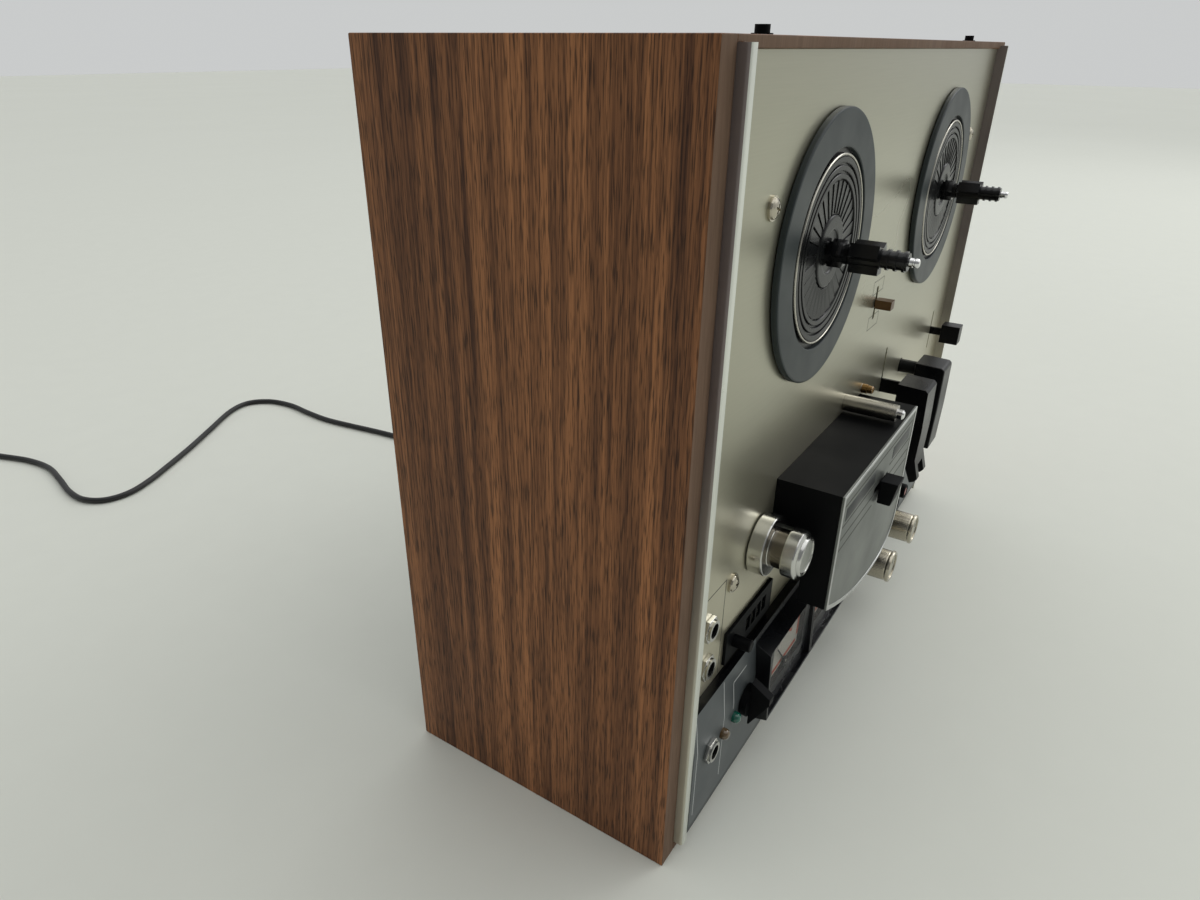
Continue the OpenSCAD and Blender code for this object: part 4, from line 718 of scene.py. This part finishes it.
def ribWedge(s):  # one rib beside the origin, its front face aslant
    inner, outer = s["radii"]
    half = radians(s["half"])
    bm = bmesh.new()
    rings = []
    for y0, y1 in (s["front"], s["back"]):
        corners = ((inner, -half, y0), (outer, -half, y0), (outer, half, y1), (inner, half, y1))
        rings.append([bm.verts.new(Vector((r * cos(a), y, r * sin(a))) * mm) for r, a, y in corners])
    joinRings(bm, rings, False)
    bmesh.ops.recalc_face_normals(bm, faces=bm.faces)
    breakEdges(bm, [e for e in bm.edges if all(v in rings[0] for v in e.verts)], s["edge"], 1)
    return newMesh("ribWedge", bm)


def makeTables(s):
    for side, x in s["tables"]:
        name, body, z, steps = side + "Table", side + "_table", s["z"], s["steps"]
        turnedPiece(name + "Ring", x, z, s["ring"], steps["ring"], body, tableGrey, "table_grey",
                    (side + "_reel_table",), True)
        turnedPiece(name + "Dish", x, z, s["dish"], steps["dish"], body, dishBlack, "lock_black")
        turnedPiece(name + "Bright", x, z, s["bright"], steps["bright"], body, sleeveSteel, "chrome",
                    closed=True)
        ribs = copies(name + "Ribs", ribWedge(s["rib"]), ringRows(x, z, s["ribs"]), dishBlack)
        setPiece(name + "Ribs", ribs, body, dishBlack, smooth=s["rib"]["crease"])
        name = side + "Spindle"
        wing = boxes("wing", [s["wing"]], s["wingEdge"], local=True)
        wings = copies(name + "Wings", wing, ringRows(x, z, s["wings"], radians(s["firstWing"])), glossBlack)
        core = lathe("core", x, z, s["core"], steps["core"])
        setPiece(name, joinMeshes(name, [core, wings]), body, glossBlack)
        turnedPiece(name + "Pin", x, z, s["pin"], steps["pin"], body, chromePlate, "chrome")


makeTables(tableSpec)
print("reel tables made")

# Guide roller on the left with painted shade and painted reflection on its waist, and the brass cap of the
# small stud over the head cover
rollerSpec = {
    "x": -129, "z": 124, "waist": (-12.1, -5.9), "steps": 96, "faceSteps": 64, "studSteps": 32,
    "profile": [(0, -19.7), (7.2, -19.7), (7.5, -19.8), (7.65, -20.1), (8, -20.2), (8.4, -20), (8.65, -19.6),
                (8.8, -18.7), (9.3, -18.45), (10.2, -18.05), (10.5, -17.8), (10.6, -17.4), (10.6, -12.8),
                (10.5, -12.4), (10.2, -12.2), (8.7, -12.2), (8.5, -12), (8.5, -6), (8.7, -5.8), (12.7, -5.8),
                (13.2, -5.6), (13.4, -5.1), (13.4, 0.6), (13.2, 0.95), (12.8, 1), (2.05, 1), (2.05, -16.1),
                (0, -16.1)],
    "face": [(0, -19.76), (6.9, -19.76), (7, -19.7), (6.9, -19.6), (0, -19.6)],
    "stud": (2, 150.5),
    "cap": [(0, -4.7), (1.3, -4.7), (1.9, -4.3), (2.1, -3.8), (2.1, -1.6), (2.5, -1.5), (2.5, 1.4), (0, 1.4)],
}


def waistZone(face):
    front, back = rollerSpec["waist"]
    return front * mm < face.center.y - frontEdge * mm < back * mm and abs(face.normal.y) < facing["waist"]


def makeRoller(s):
    body, x, z = "guide_roller", s["x"], s["z"]
    roller = turnedPiece("guideRoller", x, z, s["profile"], s["steps"], body, satinSteel, "chrome", (body,))
    # painted shade on the waist between the flanges
    addFinishes(roller.data, [waistSteelPaintedShade], waistZone)
    turnedPiece("guideRollerFace", x, z, s["face"], s["faceSteps"], body, brightTrim, "chrome")
    turnedPiece("studCap", *s["stud"], s["cap"], s["studSteps"], "cabinet", satinBrass, "speed_brass")


makeRoller(rollerSpec)

# Level knobs: nickel, fluted, with a sunk face and a mark on it
knobSpec = {
    "knobs": (("level_knob_left", 16.5), ("level_knob_right", 66.5)), "z": 40, "steps": 80, "flutes": 64,
    "profile": [(0, -29.1), (7, -29.1), (7.3, -29.2), (7.4, -29.6), (7.7, -29.7), (8.8, -29.7), (9.3, -29.4),
                (9.5, -28.9), (9.5, -27.9), (9.3, -27.6), (8.8, -27.5), (8.7, -27.1), (8.95, -26.7),
                (9.0, -26.4), (9.0, -7), (9.1, -6.8), (9.3, -6.5), (9.2, -6.2), (3, -6.2), (3, 8), (0, 8)],
    "flute": ((8.5, -26.3, -0.2), (9.025, -7.1, 0.2)), "fluteEdge": 0.02,
    "mark": ((-0.5, -29.2, 2), (0.5, -29.05, 6.6)), "markEdge": 0.04,
}


def makeKnobs(s):
    flute = boxes("flute", [s["flute"]], s["fluteEdge"], local=True)
    for body, x in s["knobs"]:
        name, z = camelName(body), s["z"]
        turnedPiece(name, x, z, s["profile"], s["steps"], body, nickelPlate, "chrome", (body,))
        ribs = copies(name + "Flutes", flute.copy(), ringRows(x, z, s["flutes"]), nickelPlate)
        setPiece(name + "Flutes", ribs, body, nickelPlate)
        mark = boxes(name + "Mark", [[(x + a, y, z + c) for a, y, c in s["mark"]]], s["markEdge"])
        setPiece(name + "Mark", mark, body, printDark)


makeKnobs(knobSpec)

# Recording buttons: a red dot sunk in the face of each
dotSpec = {"buttons": (("record_button_left", 92), ("record_button_right", 114)), "z": 40, "steps": 32,
           "profile": [(0, -11.75), (2.4, -11.75), (2.6, -11.65), (2.6, -11.5), (0, -11.5)]}
for body, x in dotSpec["buttons"]:
    turnedPiece(camelName(body) + "Dot", x, dotSpec["z"], dotSpec["profile"], dotSpec["steps"], body, recordRed,
                "record_red")

# Pilot lamps: a green and an amber bead
lampBeads = {
    # name, x, finish, what it replaces
    "beads": (("greenLamp", -150.5, lampGreen, ("pilot_lamps",)), ("amberLamp", -162.3, lampAmber, ())),
    "z": 45, "steps": 40,
    "profile": [(0, -8), (0.8, -7.95), (1.6, -7.65), (2.2, -7.1), (2.5, -6.4), (2.6, -5.6), (2.6, 2), (0, 2)],
}
for name, x, finish, replaced in lampBeads["beads"]:
    turnedPiece(name, x, lampBeads["z"], lampBeads["profile"], lampBeads["steps"], "cabinet", finish,
                "lamp_green", replaced)

# Jacks: dark insulating sleeve in each bore
jackSpec = {
    # name, x, z, and y of the face
    "jacks": (("micUpper", -173.5, 106.7, 1.5), ("micLower", -173.5, 87.3, 1.5),
              ("phones", -175.3, 46.4, -4.5)),
    "sleeve": [(3.16, -2.2), (3.16, 24), (2.95, 24), (2.95, -2), (3.02, -2.2)], "steps": 40,
}
for name, x, z, face in jackSpec["jacks"]:
    profile = [(r, y + face) for r, y in jackSpec["sleeve"]]
    turnedPiece(name + "Sleeve", x, z, profile, jackSpec["steps"], "cabinet", satinBlack, "black_moulding",
                closed=True)
print("controls made")

# Counter wheels with their figures
wheelSpec = {"wheels": 4, "first": -133.5, "pitch": 5.8, "y": 7.2, "z": 84.25, "radius": 5.62, "edge": 0.2,
             "digits": 10, "figure": 4.0, "ink": 0.1}


def makeWheels(s):
    for i in range(s["wheels"]):
        node, name = "counter_wheel_%d" % (i + 1), "counterFigures%d" % (i + 1)
        dress(node, s["edge"], satinBlack)
        centre = Matrix.Translation(place(s["first"] + s["pitch"] * i, s["y"], s["z"]))
        out = Matrix.Translation((0, -s["radius"] * mm, 0))
        digits = []
        for d in range(s["digits"]):
            turn = Matrix.Rotation(radians(360 / s["digits"] * d), 4, "X")
            digits.append(figures("figure%d" % d, str(d), s["figure"], s["ink"], centre @ turn @ out))
        setPiece(name, joinMeshes(name, digits), node, printWhite, smooth=0)


makeWheels(wheelSpec)

# Meters: black and red arcs, ticks, numbers and a red border on the cream scale card
meterSpec = {
    "centres": (("left", -99), ("right", -41)), "pivot": 42.5, "y": -7.06, "arc": 15.6, "arcSteps": 24,
    "ink": 0.1, "swing": 80,  # mm and degrees
    # start and stop as shares of the swing, then how far in and out of the arc
    "black": (0.02, 0.75, 0.25, 0.25), "red": (0.75, 0.99, 1.3, 0.3),
    "ticks": (0.06, 0.27, 0.38, 0.47, 0.57, 0.63, 0.69, 0.75, 0.82, 0.89, 0.95),
    "tick": ((-0.16, -0.05, 0.3), (0.16, 0.05, 2.1)),  # out from the arc
    "marks": (("20", 0.06), ("10", 0.27), ("7", 0.38), ("5", 0.47), ("3", 0.57), ("0", 0.75), ("3", 0.95)),
    "numbers": 19.2, "numberSize": 2.6, "numberInk": 0.08,
    "border": ((-20.2, 42.7, 17.5, 42.7), (18.8, 45.5, 18.8, 65.2)), "borderWidth": 2.4, "card": -7,
}


def swingAngle(s, share):
    return radians((share - 0.5) * s["swing"])


def arcBand(name, x, s, band):
    start, stop, inward, outward = band
    inner, outer, front, back = s["arc"] - inward, s["arc"] + outward, s["y"], s["y"] + s["ink"]
    bm = bmesh.new()
    rings = []
    for i in range(s["arcSteps"] + 1):
        a = swingAngle(s, start + (stop - start) * i / s["arcSteps"])
        rings.append([bm.verts.new(place(x + r * sin(a), y, s["pivot"] + r * cos(a)))
                      for r, y in ((inner, front), (outer, front), (outer, back), (inner, back))])
    joinRings(bm, rings, False)
    return closedMesh(name, bm)


def makeMeters(s):
    tick = boxes("tick", [[(x, y, s["arc"] + z) for x, y, z in s["tick"]]], local=True)
    for side, x in s["centres"]:
        for name, band, finish, slotName in ((side + "ScaleBlack", s["black"], printDark, "needle_black"),
                                             (side + "ScaleRed", s["red"], dialRed, "record_red")):
            printedPiece(name, arcBand(name, x, s, band), finish)
        rows = [(place(x, s["y"] + s["ink"] / 2, s["pivot"]), (0, swingAngle(s, t), 0)) for t in s["ticks"]]
        ticks = copies(side + "Ticks", tick.copy(), rows, printDark)
        printedPiece(side + "Ticks", ticks, printDark)
        numbers = []
        for label, share in s["marks"]:
            a, r = swingAngle(s, share), s["numbers"]
            spot = Matrix.Translation(place(x + r * sin(a), s["y"], s["pivot"] + r * cos(a)))
            spot = spot @ Matrix.Rotation(a, 4, "Y")
            numbers.append(figures("mark", label, s["numberSize"], s["numberInk"], spot))
        printedPiece(side + "Numbers", joinMeshes(side + "Numbers", numbers), printDark)
        edge = [(x + x0, z0, x + x1, z1) for x0, z0, x1, z1 in s["border"]]
        border = strokes(side + "Border", edge, lambda z: s["card"], s["borderWidth"])
        printedPiece(side + "Border", border, dialRed)


makeMeters(meterSpec)
print("meters and counter made")

# Printed lines on the deck, the control panel and the face plate, from (x, z) to (x, z)
printSpec = {
    "deck": [(-159.8, 122, -159.8, 74), (-188.5, 122, -159.8, 122)],
    "speed": [(-8, 209, 9, 209), (-8, 202.5, -1.7, 202.5), (1.7, 202.5, 9, 202.5), (-8, 202.5, -8, 209),
              (9, 202.5, 9, 209), (-8, 191, -1.7, 191), (1.7, 191, 9, 191), (-8, 184.5, 9, 184.5),
              (-8, 184.5, -8, 191), (9, 184.5, 9, 191)],
    "panel": [(-187, 71.5, -187, 54), (-187, 54, -187, 18), (-161.5, 72, -161.5, 54), (-161.5, 54, -161.5, 19),
              (-152, 65, -152, 54), (-152, 54, -152, 50.6), (-152, 65, -138.2, 65)],
    "plate": [(-111, 141.5, -4, 141.5), (-111, 131.2, -63, 131.2), (-40, 131.2, -4, 131.2),
              (-111, 125, -63, 125), (-40, 125, -4, 125), (-111, 119.5, -63, 119.5), (-40, 119.5, -4, 119.5)],
    "bands": [((-108, -27.9, 133), (-66, -27.7, 139.2)), ((-37, -27.9, 133), (-7, -27.7, 139.2))],
    "bandEdge": 0.05, "deckFace": 1.5, "plateFace": -27.8,
    "widths": {"deck": 0.45, "speed": 0.4, "panel": 0.38, "plate": 0.8},
}


def onPanel(z):
    return panelSpec["face"] + max(z - panelSpec["leanStart"], 0) * panelSpec["lean"]


for name, faceAt, finish, slotName in (
        ("deck", lambda z: printSpec["deckFace"], printDark, "needle_black"),
        ("speed", lambda z: printSpec["deckFace"], printGrey, "needle_black"),
        ("panel", onPanel, printWhite, "dial"),
        ("plate", lambda z: printSpec["plateFace"], printDark, "needle_black")):
    lines = strokes(name + "Lines", printSpec[name], faceAt, printSpec["widths"][name])
    printedPiece(name + "Lines", lines, finish)
bands = boxes("plateBands", printSpec["bands"], printSpec["bandEdge"])
setPiece("plateBands", bands, "cabinet", bandGrey)
print("printed marks made")

# Back: cover screws, coloured socket collars, rubber feet on the rear posts
backSpec = {
    "screws": [(x, 136, z) for x in (-183, 0, 183) for z in (20, 295)] + [(x, 136, 157.5) for x in (-183, 183)],
    "head": [(0, -1.5), (1.4, -1.45), (2.5, -1.1), (3.1, -0.5), (3.2, 0), (3.2, 0.2), (0, 0.2)],
    "slot": ((-2.6, 1.1, -0.35), (2.6, 1.56, 0.35)),
    "slotTurn": (0.5, 0.7),  # radians, of the first and from each to the next
    "collar": [(4.25, 0.2), (6.4, 0.2), (6.4, -0.9), (6.1, -1.3), (4.6, -1.3), (4.25, -1)],
    "sockets": (76, 94, 112), "socketFace": 133,
    "collars": (("redCollars", recordRed, 64, "record_red"), ("whiteCollars", printWhite, 46, "dial")),
    "feet": [(x, 156.5, z) for x in (-165.5, 165.5) for z in (42, 273)],
    "foot": [(0, -1.2), (5.8, -1.2), (6.5, -0.9), (6.8, -0.3), (6.8, 0.2), (0, 0.2)],
    "steps": 28, "wideSteps": 40,
}


def backShape(name, profile, steps, closed=False):  # a turned shape at the origin, facing back
    mesh = lathe(name, 0, 0, profile, steps, closed)
    mesh.transform(Matrix.Rotation(pi, 4, "Z") @ Matrix.Translation((0, -frontEdge * mm, 0)))
    return mesh


def makeBack(s):
    head = backShape("head", s["head"], s["steps"])
    cabinetCopies("coverScrews", head, stillRows(s["screws"]), screwBlack)
    first, step = s["slotTurn"]
    rows = [(place(*spot), (0, first + i * step, 0)) for i, spot in enumerate(s["screws"])]
    slot = boxes("slot", [s["slot"]], local=True)
    cabinetCopies("coverScrewSlots", slot, rows, glossBlack)
    for name, finish, z, slotName in s["collars"]:
        collar = backShape("collar", s["collar"], s["wideSteps"], True)
        rows = stillRows([(x, s["socketFace"], z) for x in s["sockets"]])
        cabinetCopies(name, collar, rows, finish)
    foot = backShape("foot", s["foot"], s["wideSteps"])
    cabinetCopies("rearFeet", foot, stillRows(s["feet"]), rollerRubber)


makeBack(backSpec)
print("back made")

# Plug with its grip ribs and blades, and the tie round the coil
plugSpec = {
    "neck": (6, 12), "neckEdge": 2.2, "body": (13, 38), "bodyEdge": 2.6, "edgeSteps": 4, "overlap": 1,
    "inset": (0.2, 0.3),  # from the floor and from the cord's end
    "ribs": 5, "ribFrom": 6, "ribPitch": 3.6, "ribHalf": 0.7, "ribSide": 2.2, "ribDeep": 1.2, "ribProud": 0.45,
    "ribEdge": 0.4,
    "blade": (6.3, 0.8, 17, 3.2), "bladeEdge": 0.5,  # apart, thick, reach, tall
}
tieSpec = {
    "angle": 205, "width": 9, "thick": 0.9, "bevel": 0.5, "round": 3, "steps": 5,
    "slack": 0.5, "inward": 0.3,  # mm round the coil, and turns past its innermost
}


def makePlug(s):
    tip = cordLine[-1] / mm
    tip = Vector((tip.x, tip.y - frontEdge, tip.z))
    lift, gap = s["inset"]
    half = tip.z - lift
    narrow, neck = s["neck"]
    wide, long = s["body"]
    low = min(narrow, half)
    bm = bmesh.new()
    addBox(bm, tip + Vector((-narrow, -neck - s["overlap"], -low)), tip + Vector((narrow, -gap, low)),
           s["neckEdge"], s["edgeSteps"])
    addBox(bm, tip + Vector((-wide, -long, -half)), tip + Vector((wide, -neck, half)),
           s["bodyEdge"], s["edgeSteps"])
    body = setPiece("plugBody", newMesh("plugBody", bm), "cabinet", cordBlack, ("plug",))
    x, y = wide - s["ribSide"], s["ribHalf"]
    rib = boxes("rib", [((-x, -y, half - s["ribDeep"]), (x, y, half + s["ribProud"])),
                        ((-x, -y, -half), (x, y, s["ribDeep"] - half))], s["ribEdge"], local=True)
    first = tip.y - neck - s["ribFrom"]
    rows = stillRows([(tip.x, first - s["ribPitch"] * i, tip.z) for i in range(s["ribs"])])
    ribs = cabinetCopies("plugRibs", rib, rows, cordBlack)
    apart, thick, reach, tall = s["blade"]
    pins = [(tip + Vector((k * apart - thick, -long - reach, -tall)),
             tip + Vector((k * apart + thick, s["overlap"] - long, tall))) for k in (-1, 1)]
    blades = setPiece("plugBlades", boxes("plugBlades", pins, s["bladeEdge"]), "cabinet", chromePlate)
    return [body, ribs, blades]


def makeTie(s, c):
    half, bend = c["diameter"] / 2, s["round"]
    outer = c["coilRadius"] + half + s["slack"] - bend
    inner = c["coilRadius"] - c["pitch"] * (c["layerTurns"] + s["inward"]) - half - s["slack"] + bend
    low, high = c["low"] - half + bend, c["low"] + c["pitch"] + half + s["slack"] - bend
    angle = radians(s["angle"])
    out, along = Vector((cos(angle), sin(angle), 0)), Vector((-sin(angle), cos(angle), 0))
    centre = Vector((*c["coilCentre"], 0))
    edge, top = s["width"] / 2, bend + s["thick"]
    section = ((bend, -edge), (top, s["bevel"] - edge), (top, edge - s["bevel"]), (bend, edge))
    bm = bmesh.new()
    rings = []
    for quarter, (r, z) in enumerate(((outer, high), (inner, high), (inner, low), (outer, low))):
        for i in range(s["steps"] + 1):
            a = pi / 2 * (quarter + i / s["steps"])
            u, v = cos(a), sin(a)
            rings.append([bm.verts.new((centre + out * (r + u * grow) + Vector((0, 0, z + v * grow))
                                        + along * side) * mm) for grow, side in section])
    joinRings(bm, rings, True)
    return setPiece("cordTie", closedMesh("cordTie", bm), "cabinet", rollerRubber)


plugPieces = makePlug(plugSpec) + [makeTie(tieSpec, cordSpec), pieces["cord_gland"]]
print("plug and tie made")

# Floor, and a world that is darker on the camera's side
stageSpec = {
    "floor": (219, 221, 212), "half": 9.0, "sky": (0.98, 1.0, 1.0, 1),
    "world": 0.6, "shady": 0.24, "shadySide": (-0.86, -0.5, 0.05), "fade": (-0.05, 0.75),
}


def makeStage(s):
    bm = bmesh.new()
    bmesh.ops.create_grid(bm, x_segments=2, y_segments=2, size=s["half"])
    mesh = newMesh("paleFloor", bm)
    floor = linkObject("paleFloor", mesh)
    mesh.materials.append(grainFinish("paleFloorPaint", s["floor"], tint=0.01, rough=0.6, roughTint=0.05,
                                      grain=40, bump=0.02, wide=2, shine=0.12))
    world = bpy.data.worlds.new("studio")
    bpy.context.scene.world = world
    world.use_nodes = True
    tree = world.node_tree
    sky = tree.nodes["Background"]
    sky.inputs["Color"].default_value = s["sky"]
    coord = addNode(tree, "ShaderNodeTexCoord")
    turned = addNode(tree, "ShaderNodeVectorMath", {1: s["shadySide"]}, {0: coord.outputs["Generated"]},
                     operation="DOT_PRODUCT")
    low, high = s["fade"]
    fall = addNode(tree, "ShaderNodeMapRange",
                   {"From Min": low, "From Max": high, "To Min": s["world"], "To Max": s["shady"]},
                   {"Value": turned.outputs["Value"]}, interpolation_type="SMOOTHSTEP")
    tree.links.new(fall.outputs["Result"], sky.inputs["Strength"])


lampSpec = [
    # name, kind, place, aim, size (degrees for the sun), strength
    ("ceilingGlow", "SUN", (1.6, -0.9, 4.0), (0.0, 0.0, 0.1), 100, 1.1),
    ("windowRight", "AREA", (2.1, -1.0, 1.9), (0.0, 0.0, 0.15), 1.3, 13),
]


def makeLamps(rows):
    for name, kind, spot, aim, size, strength in rows:
        lamp = bpy.data.lights.new(name, kind)
        if kind == "SUN":
            lamp.angle = radians(size)
        else:
            lamp.size = size
        lamp.energy = strength
        back = Vector(spot) - Vector(aim)
        turn = back.to_track_quat("Z", "Y").to_matrix().to_4x4()
        linkObject(name, lamp).matrix_world = Matrix.Translation(spot) @ turn


makeStage(stageSpec)
makeLamps(lampSpec)
print("stage lit")
